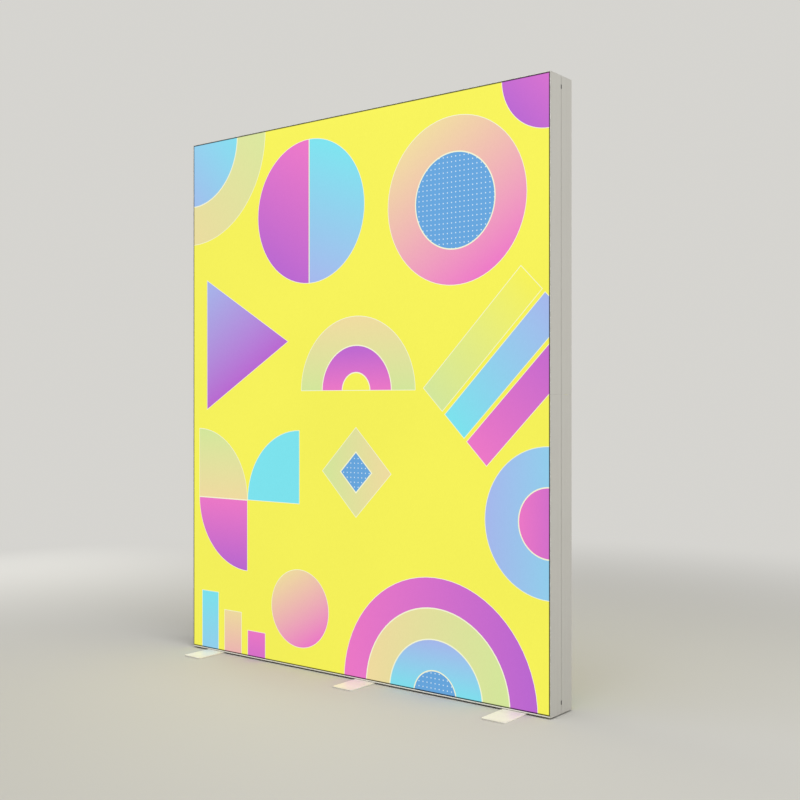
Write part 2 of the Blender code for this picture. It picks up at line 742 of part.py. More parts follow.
def lens_strip_mesh():
    """A clear strip with one dome over each light; X across, Y inwards, Z along."""
    profile = [(0, LENS_HEIGHT)]
    for step in range(1, LENS_STEPS + 1):
        angle = pi / 2 * step / LENS_STEPS
        profile.append((LENS_RADIUS * sin(angle), LENS_HEIGHT * cos(angle)))
    profile += [(LENS_RADIUS, -JOIN_OVERLAP), (0, -JOIN_OVERLAP)]
    dome = turned("lens_dome", profile, LENS_SIDES)
    end = BOARD_LENGTH / 2 - LENS_STRIP_MARGIN
    low = BOARD_TOP + FIT_GAP
    top = low + LENS_STRIP_THICKNESS
    half = LENS_STRIP_WIDTH / 2
    strip = box_mesh("lens_strip", (-half, low, -end), (half, top, end))
    lean = Matrix((EAST, UP, -ACROSS)).transposed().inverted().to_4x4()
    pitch = 2 * end / LENS_COUNT
    domes = []
    for index in range(LENS_COUNT):
        along = -end + pitch * (index + 1 / 2)
        domes.append((dome, Matrix.Translation((0, top, along)) @ lean))
    return combined("lens_strip", strip, additions=[gathered("lens_domes", domes)])


def add_light_bars():
    board = board_mesh()
    lenses = lens_strip_mesh()
    for side in (LEFT, RIGHT):
        for way, end in ((-1, "lower"), (1, "upper")):
            along = way * (side.length / 2 - BOARD_FROM_CORNER - BOARD_LENGTH / 2)
            for part, mesh, surface in (
                ("led_board", board, WHITE_BOARD),
                ("led_lens_strip", lenses, CLEAR_LENS),
            ):
                made = add_part(f"{part}_{side.name}_{end}", mesh, surface)
                place(made, side.at(along, 0, 0), ACROSS, side.inward)


def driver_loop():
    """The finned housing's section: X across, Y up from its underside."""
    half = DRIVER_WIDTH / 2 - DRIVER_SIDE_STEP
    top = DRIVER_HEIGHT - DRIVER_SIDE_STEP
    pitch = 2 * half / (2 * DRIVER_FIN_COUNT - 1)
    loop = [(-half, 0), (half, 0)]
    x = half
    for fin in range(DRIVER_FIN_COUNT):
        loop += [(x, top), (x - pitch, top)]
        if fin < DRIVER_FIN_COUNT - 1:
            loop += [(x - pitch, top - DRIVER_FIN_DEPTH), (x - 2 * pitch, top - DRIVER_FIN_DEPTH)]
        x -= 2 * pitch
    return loop


def driver_mesh():
    """The finned housing between two end caps, with a gland for each cable; Z runs along it."""
    body = extruded("driver", driver_loop(), DRIVER_LENGTH - DRIVER_CAP_LENGTH)
    half = DRIVER_WIDTH / 2
    end = DRIVER_LENGTH / 2
    middle = DRIVER_HEIGHT / 2
    additions = []
    cap = rounded_loop(-half, 0, half, DRIVER_HEIGHT, CELL_RADIUS)
    gland_length = GLAND_LENGTH + JOIN_OVERLAP
    gland_profile = [(0, gland_length), (GLAND_RADIUS, gland_length), (GLAND_RADIUS, 0), (0, 0)]
    gland = turned("gland", gland_profile, GLAND_SIDES)
    for way, places in ((1, (-OUTPUT_SPREAD, OUTPUT_SPREAD)), (-1, (0,))):
        plate = extruded("driver_cap", cap, DRIVER_CAP_LENGTH)
        plate.transform(Matrix.Translation((0, 0, way * (end - DRIVER_CAP_LENGTH / 2))))
        additions.append(plate)
        for across in places:
            made = gland.copy()
            start = end - JOIN_OVERLAP if way > 0 else -end - GLAND_LENGTH
            made.transform(Matrix.Translation((across, middle, start)))
            additions.append(made)
    return combined("driver", body, additions=additions)


def driver_start():
    return -WALL_WIDTH / 2 + DRIVER_FROM_CORNER


def add_driver():
    middle = driver_start() + DRIVER_LENGTH / 2
    made = add_part("led_driver", soften(driver_mesh()), DRIVER_METAL)
    place(made, BOTTOM.at(middle, 0, DRIVER_BACK), ACROSS, UP)
    half = DRIVER_WIDTH / 2 + FIT_GAP
    outside = half + TRAY_THICKNESS
    right, left = key_loop(outside, 0)
    back, floor = TRAY_BACK, TRAY_BACK + TRAY_THICKNESS
    rim = floor + TRAY_FLANGE
    right[-1] = (outside, rim)
    left[0] = (-outside, rim)
    channel = right + [(half, rim), (half, floor), (-half, floor), (-half, rim)] + left
    length = DRIVER_LENGTH + 2 * TRAY_MARGIN
    tray = add_part("driver_tray", extruded("driver_tray", channel, length), ZINC_STEEL)
    place(tray, BOTTOM.at(middle, 0, 0), ACROSS, UP)


def inlet_bands():
    """Heights, from the middle of the inlet, of the socket, the drawer bore and the rocker pocket."""
    socket_low = INLET_WALL - INLET_HEIGHT / 2
    socket_high = socket_low + SOCKET_HEIGHT
    drawer_low = socket_high + INLET_WALL
    drawer_high = drawer_low + DRAWER_HEIGHT + 2 * FIT_GAP
    pocket_low = drawer_high + INLET_WALL
    pocket_high = pocket_low + 2 * (ROCKER_RADIUS + FIT_GAP)
    return (socket_low, socket_high), (drawer_low, drawer_high), (pocket_low, pocket_high)


def inlet_mesh():
    """The moulded housing: X across, Y up, Z inwards from the outer face of the frame."""
    half, tall = INLET_BODY_WIDTH / 2, INLET_HEIGHT / 2
    body = extruded("inlet", rounded_loop(-half, -tall, half, tall, INLET_CORNER), INLET_DEPTH)
    body.transform(Matrix.Translation((0, 0, INLET_DEPTH / 2)))
    wide, ear = INLET_FLANGE_WIDTH / 2, tall + INLET_FLANGE_EAR
    flange_loop = rounded_loop(-wide, -ear, wide, ear, INLET_CORNER)
    flange = extruded("inlet_flange", flange_loop, INLET_FLANGE_THICKNESS)
    flange.transform(Matrix.Translation((0, 0, CONNECTOR_BACK + INLET_FLANGE_THICKNESS / 2)))
    socket_band, drawer_band, pocket_band = inlet_bands()
    low, high = socket_band
    side = SOCKET_WIDTH / 2
    loop = [(-side, low), (side, low), (side, high - SOCKET_CHAMFER), (side - SOCKET_CHAMFER, high)]
    loop += [(SOCKET_CHAMFER - side, high), (-side, high - SOCKET_CHAMFER)]
    socket = extruded("inlet_socket", loop, SOCKET_DEPTH + CUT_OVERRUN)
    socket.transform(Matrix.Translation((0, 0, (SOCKET_DEPTH - CUT_OVERRUN) / 2)))
    bore_half = DRAWER_WIDTH / 2 + FIT_GAP
    bore_end = DRAWER_LENGTH + FIT_GAP
    bore_low = (-bore_half, drawer_band[0], -CUT_OVERRUN)
    bore = box_mesh("inlet_drawer_bore", bore_low, (bore_half, drawer_band[1], bore_end))
    pocket_half = ROCKER_WIDTH / 2 + FIT_GAP
    pocket_end = ROCKER_PIVOT_DEPTH + ROCKER_RADIUS + FIT_GAP
    pocket_low = (-pocket_half, pocket_band[0], -CUT_OVERRUN)
    pocket = box_mesh("inlet_rocker_pocket", pocket_low, (pocket_half, pocket_band[1], pocket_end))
    return combined("inlet", body, [flange], [socket, bore, pocket], inlet_blades(low, high))


def inlet_blades(low, high):
    """Three contact blades that stand on the socket's floor."""
    middle = (low + high) / 2
    blades = []
    for x, shift in ((-BLADE_SPACING, -BLADE_OFFSET), (0, BLADE_OFFSET), (BLADE_SPACING, -BLADE_OFFSET)):
        y = middle + shift
        corner = (x - BLADE_WIDTH / 2, y - BLADE_HEIGHT / 2, BLADE_RECESS)
        other = (x + BLADE_WIDTH / 2, y + BLADE_HEIGHT / 2, SOCKET_DEPTH + JOIN_OVERLAP)
        blades.append(box_mesh("inlet_blade", corner, other))
    return blades


def inlet_place(band, depth):
    """The world place at a band's middle height and a depth behind the outer face."""
    up = INLET_HEIGHT_UP - WALL_HEIGHT / 2 + (band[0] + band[1]) / 2
    return LEFT.at(up, INLET_ACROSS, depth)


def rocker_mesh():
    """A drum with two dished wings; X is outwards, Y up and Z along the pivot."""
    upper = pi / 2 - ROCKER_HIGH_ANGLE
    lower = ROCKER_LOW_ANGLE - pi / 2
    steps = 4 * ARC_STEPS
    loop = [(ROCKER_DISH, 0)]
    for step in range(steps + 1):
        angle = upper + (2 * pi + lower - upper) * step / steps
        loop.append((ROCKER_RADIUS * cos(angle), ROCKER_RADIUS * sin(angle)))
    return extruded("rocker", loop, ROCKER_WIDTH)


def drawer_mesh():
    """The fuse drawer: X across, Y up, Z inwards, with a finger notch in its face."""
    wide, tall = DRAWER_WIDTH / 2, DRAWER_HEIGHT / 2
    drawer = box_mesh("fuse_drawer", (-wide, -tall, 0), (wide, tall, DRAWER_LENGTH))
    notch_low = (-DRAWER_NOTCH_WIDTH / 2, -tall - CUT_OVERRUN, -CUT_OVERRUN)
    notch_high = (DRAWER_NOTCH_WIDTH / 2, DRAWER_NOTCH_HEIGHT - tall, DRAWER_NOTCH_DEPTH)
    return combined("fuse_drawer", drawer, cuts=[box_mesh("notch", notch_low, notch_high)])


def add_inlet():
    socket_band, drawer_band, pocket_band = inlet_bands()
    whole = (-INLET_HEIGHT / 2, INLET_HEIGHT / 2)
    housing = add_part("inlet_housing", inlet_mesh(), BLACK_PLASTIC)
    place(housing, inlet_place(whole, 0), ACROSS, UP)
    drawer = add_part("fuse_drawer", drawer_mesh(), DARK_PLASTIC)
    place(drawer, inlet_place(drawer_band, 0), ACROSS, UP)
    rocker = add_part("rocker_switch", soften(rocker_mesh()), DARK_PLASTIC)
    place(rocker, inlet_place(pocket_band, ROCKER_PIVOT_DEPTH), -EAST, UP)


def smooth_slope(before, after):
    """The slope at a route's point: no part of the curve then swings past the point."""
    pairs = zip(before, after)
    return Vector([2 * a * b / (a + b) if a * b > 0 else 0 for a, b in pairs])


def smooth_route(points, steps):
    """Points on a smooth curve that passes through the route's own points."""
    route = [Vector(point) for point in points]
    legs = [end - start for start, end in zip(route, route[1:])]
    ways = [leg.normalized() for leg in legs]
    slopes = [ways[0]] + [smooth_slope(a, b) for a, b in zip(ways, ways[1:])] + [ways[-1]]
    smooth = []
    for index, leg in enumerate(legs):
        leave, arrive = slopes[index] * leg.length, slopes[index + 1] * leg.length
        for step in range(steps):
            t = step / steps
            bend = leg * (3 * t**2 - 2 * t**3)
            bend += leave * (t**3 - 2 * t**2 + t) + arrive * (t**3 - t**2)
            smooth.append(route[index] + bend)
    smooth.append(route[-1])
    return smooth


def add_cable(name, points, radius):
    curve = bpy.data.curves.new(name, "CURVE")
    curve.dimensions = "3D"
    curve.bevel_depth = radius
    curve.bevel_resolution = 1
    curve.use_fill_caps = True
    route = smooth_route(points, ARC_STEPS)
    spline = curve.splines.new("POLY")
    spline.points.add(len(route) - 1)
    for point, place_at in zip(spline.points, route):
        point.co = (*place_at, 1)
    add_part(name, soften(curve_mesh(curve)), CABLE_JACKET)


def add_mains_cable():
    start = inlet_place((-INLET_HEIGHT / 2, INLET_HEIGHT / 2), INLET_DEPTH + FIT_GAP)
    end = BOTTOM.at(driver_start() - GLAND_LENGTH - FIT_GAP, 0, DRIVER_MIDDLE)
    fall = start.z - end.z
    reach = end.x - start.x
    points = [start, start + EAST * CABLE_BOW - UP * CABLE_REST]
    for along, across, up in MAINS_BEND_SHARES:
        points.append(Vector((start.x + reach * along, start.y * across, end.z + fall * up)))
    points += [end - EAST * CABLE_BOW, end]
    add_cable("mains_cable", points, MAINS_CABLE_RADIUS)


def board_end(side, end, way):
    """The world place just outside a light bar's end: end is -1 for the lower bar, 1 for the upper."""
    middle = end * (side.length / 2 - BOARD_FROM_CORNER - BOARD_LENGTH / 2)
    return side.at(middle + way * (BOARD_LENGTH / 2 + FIT_GAP), 0, PLUG_BLOCK_MIDDLE)


def riser_points(side, lane):
    """From the corner of the frame, up out of the cable lane and over to the lower light bar."""
    bar = board_end(side, -1, -1)
    level = SKIN + CABLE_REST + LED_CABLE_RADIUS
    low = -side.length / 2
    over = PLUG_BLOCK_MIDDLE + CABLE_RISE
    points = [side.at(low + level, lane, CABLE_BEND + level)]
    points.append(side.at(low + CABLE_BEND, lane, CABLE_RISE + level))
    for along, across in RISER_BEND_SHARES:
        points.append(side.at(low + BOARD_FROM_CORNER * along, lane * across, over))
    return points + [bar - side.along * CABLE_RISE, bar]


def add_led_cables():
    level = SKIN + CABLE_REST + LED_CABLE_RADIUS
    end = driver_start() + DRIVER_LENGTH + GLAND_LENGTH + FIT_GAP
    across, up = LED_BEND_SHARES
    for side, spread, way in ((RIGHT, 1, 1), (LEFT, -1, -1)):
        lane = spread * CABLE_LANE
        start = BOTTOM.at(end, spread * OUTPUT_SPREAD, DRIVER_MIDDLE)
        points = [start, start + EAST * CABLE_BOW]
        points.append(BOTTOM.at(end + 2 * CABLE_BOW, lane * across, DRIVER_MIDDLE * up))
        points.append(BOTTOM.at(end + (2 + way) * CABLE_BOW, lane, level))
        far = way * (WALL_WIDTH / 2 - 3 * CABLE_BEND)
        near = end + way * 4 * CABLE_BOW
        points += [BOTTOM.at(near, lane, level), BOTTOM.at(far, lane, level)]
        add_cable(f"led_cable_{side.name}", points + riser_points(side, lane), LED_CABLE_RADIUS)


def add_link_cables():
    """Short leads that join the lower light bars to the upper ones past the brace."""
    for side in (LEFT, RIGHT):
        low = board_end(side, -1, 1)
        high = board_end(side, 1, -1)
        over = PLUG_BLOCK_MIDDLE + CABLE_RISE
        lane = SHOE_WIDTH / 2 + CABLE_BOW
        reach = SHOE_LENGTH / 2 + CABLE_RISE
        points = [low, low + side.along * CABLE_RISE]
        points += [side.at(-reach, lane, over), side.at(reach, lane, over)]
        points += [high - side.along * CABLE_RISE, high]
        add_cable(f"link_cable_{side.name}", points, LED_CABLE_RADIUS)


clear_scene()
PARTS = new_collection("lightbox_display_wall")
CUTTERS = new_collection("cutters")
CUTTERS.hide_render = True

PROFILE_PAINT = material("profile_paint", (0.49, 0.48, 0.44), 0.45, 0.3)
CAST_METAL = material("cast_metal", (0.55, 0.56, 0.57), 0.5, 1.0)
LATCH_STEEL = material("latch_steel", (0.09, 0.09, 0.09), 0.4, 0.8)
FABRIC_PRINT = material("fabric_print", (0.91, 0.88, 0.10), 0.8)
SILICONE = material("silicone", (0.80, 0.80, 0.78), 0.6)
FOOT_PAINT = material("foot_paint", (0.80, 0.78, 0.72), 0.4)
ZINC_STEEL = material("zinc_steel", (0.62, 0.62, 0.60), 0.35, 1.0)
BARE_ALUMINIUM = material("bare_aluminium", (0.72, 0.73, 0.74), 0.4, 1.0)
WHITE_BOARD = material("white_board", (0.85, 0.86, 0.84), 0.5)
CLEAR_LENS = material("clear_lens", (0.92, 0.95, 0.96), 0.1)
DRIVER_METAL = material("driver_metal", (0.45, 0.46, 0.47), 0.45, 0.9)
BLACK_PLASTIC = material("black_plastic", (0.03, 0.03, 0.03), 0.5)
DARK_PLASTIC = material("dark_plastic", (0.06, 0.06, 0.06), 0.35)
CABLE_JACKET = material("cable_jacket", (0.85, 0.85, 0.83), 0.55)

add_profiles()
add_corner_connectors()
add_joint_connectors()
add_latches()
add_fabrics()
add_edge_strips()
add_feet()
add_brace()
add_light_bars()
add_driver()
add_inlet()
add_mains_cable()
add_led_cables()
add_link_cables()
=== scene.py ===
# %% [markdown]
# # The lightbox display wall
#
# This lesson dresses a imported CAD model: a free-standing wall whose mitred aluminium frame holds two backlit
# printed cloths. The CAD model already has the true shape of every hard piece, so it stays as it is and only
# gets finishes. The two cloths are made again here, because a flat CAD sheet can't carry a print.
#
# Everything is in metres. Z is up, the front of the wall faces -Y, and the origin lies on the floor.

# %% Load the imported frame
from math import cos, pi, radians, sin

import bpy
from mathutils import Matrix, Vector


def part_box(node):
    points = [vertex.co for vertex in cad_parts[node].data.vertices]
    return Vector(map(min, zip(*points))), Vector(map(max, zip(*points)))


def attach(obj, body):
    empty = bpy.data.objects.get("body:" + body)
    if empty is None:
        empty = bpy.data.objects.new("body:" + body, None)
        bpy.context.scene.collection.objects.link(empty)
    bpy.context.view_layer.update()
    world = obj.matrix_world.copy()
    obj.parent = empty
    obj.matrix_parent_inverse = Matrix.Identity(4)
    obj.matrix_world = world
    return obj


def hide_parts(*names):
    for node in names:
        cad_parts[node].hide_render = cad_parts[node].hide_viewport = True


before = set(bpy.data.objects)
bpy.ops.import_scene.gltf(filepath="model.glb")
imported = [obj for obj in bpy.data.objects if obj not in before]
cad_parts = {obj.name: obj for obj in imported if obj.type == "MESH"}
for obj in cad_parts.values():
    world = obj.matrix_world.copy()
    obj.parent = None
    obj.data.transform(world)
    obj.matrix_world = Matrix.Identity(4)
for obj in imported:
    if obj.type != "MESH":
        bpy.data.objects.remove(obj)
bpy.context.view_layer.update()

wall_low, wall_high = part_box("profile_left_lower")[0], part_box("profile_right_upper")[1]
WALL_MIDDLE = (wall_low.z + wall_high.z) / 2
WALL_FRONT = wall_low.y

# %% [markdown]
# ## Camera
#
# The photograph was taken with a level camera: the wall's upright edges stay parallel in it. A level camera
# with a 50 mm lens on a 36 mm sensor, turned 38.11 degrees to the wall's front, gives the same convergence of
# the top and bottom edges. The place was found by fitting the wall's corners to those in the photograph.

# %% Camera
CAMERA_PLACE = (3.2136, -3.8132, 1.2342)
CAMERA_TURN = radians(38.113)
CAMERA_LENS = 50
CAMERA_SENSOR = 36

camera_data = bpy.data.cameras.new("camera")
camera_data.lens = CAMERA_LENS
camera_data.sensor_width = CAMERA_SENSOR
camera = bpy.data.objects.new("camera", camera_data)
camera.location = CAMERA_PLACE
camera.rotation_euler = (pi / 2, 0, CAMERA_TURN)
bpy.context.scene.collection.objects.link(camera)
bpy.context.scene.camera = camera
bpy.context.scene.view_settings.view_transform = "Standard"
print("camera at", CAMERA_PLACE)

# %% [markdown]
# ## Operators and selection
#
# An operator works on whatever is selected and on the active object, so each step starts from a clean
# selection. Edit mode has its own selection of faces; it is set here from object mode, by a test on each face.


# %% Selection helpers
def pick(*objects):
    """Selects these objects only; the first is the active one."""
    bpy.ops.object.select_all(action="DESELECT")
    for chosen in objects:
        chosen.select_set(True)
    bpy.context.view_layer.objects.active = objects[0]


def pick_faces(piece, test):
    """Opens a mesh in edit mode with only the faces selected that pass the test."""
    pick(piece)
    bpy.ops.object.mode_set(mode="EDIT")
    bpy.ops.mesh.select_mode(type="FACE")
    bpy.ops.mesh.select_all(action="DESELECT")
    bpy.ops.object.mode_set(mode="OBJECT")
    for face in piece.data.polygons:
        face.select = test(face)
    bpy.ops.object.mode_set(mode="EDIT")


def close_edit():
    bpy.ops.object.mode_set(mode="OBJECT")


# %% [markdown]
# ## Stage
#
# The floor is a wide plain disc. Its material turns into the backdrop's plain colour with distance, so no
# horizon shows behind the wall from any side, while the wall keeps its shadow and its glow on the floor.

# %% Floor
FLOOR_RADIUS = 60
FLOOR_SIDES = 64
FLOOR_FADE_START = 1.6
FLOOR_FADE_END = 5.4
FLOOR_COLOUR = (0.56, 0.55, 0.51, 1)
BACKDROP_COLOUR = (0.67, 0.66, 0.63, 1)

bpy.ops.object.select_all(action="DESELECT")
bpy.ops.mesh.primitive_circle_add(vertices=FLOOR_SIDES, radius=FLOOR_RADIUS, fill_type="NGON")
floor = bpy.context.object
floor.name = "floor"

floor_paint = bpy.data.materials.new("floor_paint")
floor_paint.use_nodes = True
tree = floor_paint.node_tree
tree.nodes.clear()
place = tree.nodes.new("ShaderNodeTexCoord")
length = tree.nodes.new("ShaderNodeVectorMath")
length.operation = "LENGTH"
fade = tree.nodes.new("ShaderNodeMapRange")
fade.interpolation_type = "SMOOTHSTEP"
fade.inputs["From Min"].default_value = FLOOR_FADE_START
fade.inputs["From Max"].default_value = FLOOR_FADE_END
matt = tree.nodes.new("ShaderNodeBsdfDiffuse")
matt.inputs["Color"].default_value = FLOOR_COLOUR
far = tree.nodes.new("ShaderNodeEmission")
far.inputs["Color"].default_value = BACKDROP_COLOUR
blend = tree.nodes.new("ShaderNodeMixShader")
output = tree.nodes.new("ShaderNodeOutputMaterial")
tree.links.new(place.outputs["Object"], length.inputs[0])
tree.links.new(length.outputs["Value"], fade.inputs["Value"])
tree.links.new(fade.outputs["Result"], blend.inputs["Fac"])
tree.links.new(matt.outputs["BSDF"], blend.inputs[1])
tree.links.new(far.outputs["Emission"], blend.inputs[2])
tree.links.new(blend.outputs["Shader"], output.inputs["Surface"])
floor.data.materials.append(floor_paint)
print("floor radius", FLOOR_RADIUS)

# %% [markdown]
# ## Light
#
# A lightbox photographs best in a softly lit room: bright lamps would wash its print out. The world gives an
# even base. One large lamp hangs overhead, so that the floor before and behind the wall is lit alike and the
# glow of both prints shows on it, and a low lamp on either hand lights the side faces. The camera, mirrors
# and clear pieces see the backdrop's own colour instead of the world's light.

# %% World
WORLD_LIGHT = 0.52

world = bpy.data.worlds.new("studio")
bpy.context.scene.world = world
world.use_nodes = True
tree = world.node_tree
tree.nodes.clear()
rays = tree.nodes.new("ShaderNodeLightPath")
seen = tree.nodes.new("ShaderNodeMath")
seen.operation = "MAXIMUM"
seen_too = tree.nodes.new("ShaderNodeMath")
seen_too.operation = "MAXIMUM"
ambient = tree.nodes.new("ShaderNodeBackground")
ambient.inputs["Strength"].default_value = WORLD_LIGHT
backdrop = tree.nodes.new("ShaderNodeBackground")
backdrop.inputs["Color"].default_value = BACKDROP_COLOUR
blend = tree.nodes.new("ShaderNodeMixShader")
output = tree.nodes.new("ShaderNodeOutputWorld")
tree.links.new(rays.outputs["Is Camera Ray"], seen.inputs[0])
tree.links.new(rays.outputs["Is Glossy Ray"], seen.inputs[1])
tree.links.new(seen.outputs["Value"], seen_too.inputs[0])
tree.links.new(rays.outputs["Is Transmission Ray"], seen_too.inputs[1])
tree.links.new(seen_too.outputs["Value"], blend.inputs["Fac"])
tree.links.new(ambient.outputs["Background"], blend.inputs[1])
tree.links.new(backdrop.outputs["Background"], blend.inputs[2])
tree.links.new(blend.outputs["Shader"], output.inputs["Surface"])
print("world light", WORLD_LIGHT)


# %% Lamps
def add_lamp(name, place, aim, size, power):
    """A square area lamp that faces a point."""
    data = bpy.data.lights.new(name, "AREA")
    data.size = size
    data.energy = power
    lamp = bpy.data.objects.new(name, data)
    lamp.location = place
    lamp.rotation_euler = (Vector(aim) - Vector(place)).to_track_quat("-Z", "Y").to_euler()
    bpy.context.scene.collection.objects.link(lamp)


# A row gives: name, place, the point that the lamp faces, width in metres and power in watts
LAMPS = [
    ("overhead", (1.2, -1.0, 6.0), (0, 0, 0.5), 3.0, 208),
    ("right", (5.5, 0.5, 1.2), (0, 0, 1.1), 2.4, 92),
    ("left", (-5.0, 1.0, 1.4), (0, 0, 1.1), 2.4, 88),
]
for row in LAMPS:
    add_lamp(*row)
print("lamps:", ", ".join(row[0] for row in LAMPS))

# %% [markdown]
# ## Printed cloth: its face
#
# The real cloth is cut 2.07 m by 2.52 m. A silicone edge is sewn round it and pressed into the frame's
# groove, which pulls the face flat: the cloth turns over the strip in a small bend and runs back as a hem.
# A simulation would only stretch it flat again, so it is modelled as it ends up. It starts as a plane, the
# flat face between the bends; the print is cut into that, and the bend and the hem are added last.

# %% Flat face
CLOTH_BEND = 0.0034
CLOTH_THICKNESS = 0.0004

cloth_low, cloth_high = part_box("front_graphic")
cloth_middle = (cloth_low + cloth_high) / 2
face_centre = Vector((cloth_middle.x, cloth_low.y, cloth_middle.z))
face_width = cloth_high.x - cloth_low.x - 2 * CLOTH_BEND
face_height = cloth_high.z - cloth_low.z - 2 * CLOTH_BEND
bpy.ops.object.select_all(action="DESELECT")
bpy.ops.mesh.primitive_plane_add(size=1, location=face_centre, rotation=(pi / 2, 0, 0))
bpy.ops.transform.resize(value=(face_width, 1, face_height), center_override=face_centre)
cloth = bpy.context.object
cloth.name = "printed_cloth_front"
bpy.ops.object.transform_apply()
print("face", round(face_width, 4), "by", round(face_height, 4))

# %% [markdown]
# ## Printed cloth: its design
#
# The print is a plain study in circles, arches and stripes on a yellow ground. Each motif is a disc, a
# triangle, a diamond or a bar, whole or cut to a half or a quarter, and its ink runs from one colour to
# another. A later motif covers the earlier ones, so a ring is a disc with a smaller disc of the ground on it.
#
# A row gives: kind, half length, half width, place from the middle of the cloth, turn in degrees, the part
# that is kept, the first and the last ink, and the direction in which the ink runs, in degrees.

# %% Inks
GROUND = "yellow"
DOTTED = "blue"


def light_value(channel):
    """A screen colour's channel, 0 to 255, as the amount of light that Blender counts in."""
    share = channel / 255
    return share / 12.92 if share < 0.04045 else ((share + 0.055) / 1.055) ** 2.4


def ink(red, green, blue):
    return Vector([light_value(channel) for channel in (red, green, blue)])


INKS = {
    "yellow": ink(247, 243, 86),
    "pale green": ink(212, 232, 155),
    "cyan": ink(122, 228, 240),
    "blue": ink(100, 165, 222),
    "pink": ink(238, 118, 200),
    "violet": ink(185, 100, 210),
    "lilac": ink(165, 183, 238),
    "peach": ink(241, 220, 160),
    "hairline": ink(247, 248, 214),
}
print("inks:", ", ".join(INKS))

# %% Motifs
MOTIFS = [
    ("disc", 0.50, 0.50, -1.02, 1.25, 0, "whole", "pale green", "peach", 225),
    ("disc", 0.31, 0.31, -1.02, 1.25, 0, "whole", "cyan", "lilac", 225),
    ("disc", 0.33, 0.33, -0.24, 0.84, 90, "half", "violet", "pink", 60),
    ("disc", 0.33, 0.33, -0.24, 0.84, -90, "half", "cyan", "lilac", 250),
    ("disc", 0.35, 0.35, 0.57, 0.80, 0, "whole", "peach", "pink", 300),
    ("disc", 0.20, 0.20, 0.57, 0.80, 0, "whole", "blue", "blue", 0),
    ("disc", 0.22, 0.22, 1.02, 1.25, 0, "whole", "pink", "violet", 225),
    ("triangle", 0.37, 0.37, -0.74, 0.25, 30, "whole", "violet", "lilac", 120),
    ("disc", 0.33, 0.33, 0.04, 0.02, 0, "half", "pale green", "peach", 90),
    ("disc", 0.20, 0.20, 0.04, 0.02, 0, "half", "pink", "violet", 90),
    ("disc", 0.08, 0.08, 0.04, 0.02, 0, "half", "yellow", "yellow", 0),
    ("bar", 0.34, 0.07, 0.70, 0.22, 45, "whole", "pale green", "yellow", 45),
    ("bar", 0.34, 0.07, 0.81, 0.11, 45, "whole", "cyan", "lilac", 45),
    ("bar", 0.34, 0.07, 0.92, 0.00, 45, "whole", "pink", "violet", 45),
    ("disc", 0.34, 0.34, -0.98, -0.50, 0, "quarter", "peach", "pale green", 90),
    ("disc", 0.34, 0.34, -0.64, -0.50, 180, "quarter", "pink", "violet", 270),
    ("disc", 0.34, 0.34, -0.30, -0.50, 90, "quarter", "cyan", "cyan", 0),
    ("diamond", 0.20, 0.20, 0.04, -0.34, 0, "whole", "pale green", "peach", 0),
    ("diamond", 0.09, 0.09, 0.04, -0.34, 0, "whole", "blue", "blue", 0),
    ("disc", 0.30, 0.30, 1.02, -0.50, 0, "whole", "cyan", "lilac", 180),
    ("disc", 0.14, 0.14, 1.02, -0.50, 0, "whole", "violet", "pink", 180),
    ("bar", 0.30, 0.06, -0.90, -1.26, 90, "whole", "lilac", "cyan", 90),
    ("bar", 0.22, 0.06, -0.74, -1.26, 90, "whole", "pink", "peach", 90),
    ("bar", 0.14, 0.06, -0.58, -1.26, 90, "whole", "violet", "pink", 90),
    ("disc", 0.18, 0.18, -0.30, -0.98, 0, "whole", "pink", "peach", 120),
    ("disc", 0.50, 0.50, 0.47, -1.26, 0, "half", "pink", "violet", 0),
    ("disc", 0.37, 0.37, 0.47, -1.26, 0, "half", "peach", "pale green", 0),
    ("disc", 0.24, 0.24, 0.47, -1.26, 0, "half", "cyan", "lilac", 90),
    ("disc", 0.11, 0.11, 0.47, -1.26, 0, "half", "blue", "blue", 0),
]
print("motifs:", len(MOTIFS))

# %% [markdown]
# ## Printed cloth: cutting the outlines
#
# The outlines become real edges of the cloth, so that each colour ends on a clean line. For each motif a
# prism is added that stands through the cloth, and a half or a quarter is made by bisecting it. The front
# cap's corners are kept as the outline, to know later which faces lie inside. Then all prisms are joined to
# the cloth, the intersect operator cuts the cloth along their walls, and the prisms' own faces are deleted.

# %% Prism for each motif
CUTTER_DEPTH = 0.08
DISC_SIDES = 72
SIDES = {"disc": DISC_SIDES, "triangle": 3, "diamond": 4}


def way(degrees):
    """A direction in the plane of the cloth, as a point of X and Z."""
    return Vector((cos(radians(degrees)), sin(radians(degrees))))


def keep_side(centre, direction):
    """Cuts the prism in edit mode and keeps what lies ahead of a plane through its centre."""
    bpy.ops.mesh.select_all(action="SELECT")
    plane = (direction.x, 0, direction.y)
    bpy.ops.mesh.bisect(plane_co=centre, plane_no=plane, use_fill=True, clear_inner=True)


def motif_prism(kind, half_length, half_width, x, z, turn, kept):
    centre = Vector((x, cloth_low.y, cloth_middle.z + z))
    bpy.ops.object.select_all(action="DESELECT")
    stand = {"location": centre, "rotation": (pi / 2, radians(-turn), 0)}
    if kind == "bar":
        stand["scale"] = (half_length, half_width, CUTTER_DEPTH / 2)
        bpy.ops.mesh.primitive_cube_add(size=2, **stand)
    else:
        stand["scale"] = (half_length, half_width, 1)
        bpy.ops.mesh.primitive_cylinder_add(
            vertices=SIDES[kind], radius=1, depth=CUTTER_DEPTH, end_fill_type="NGON", **stand
        )
    prism = bpy.context.object
    bpy.ops.object.transform_apply()
    bpy.ops.object.mode_set(mode="EDIT")
    if kept in ("half", "quarter"):
        keep_side(centre, way(turn + 90))
    if kept == "quarter":
        keep_side(centre, way(turn))
    close_edit()
    return prism


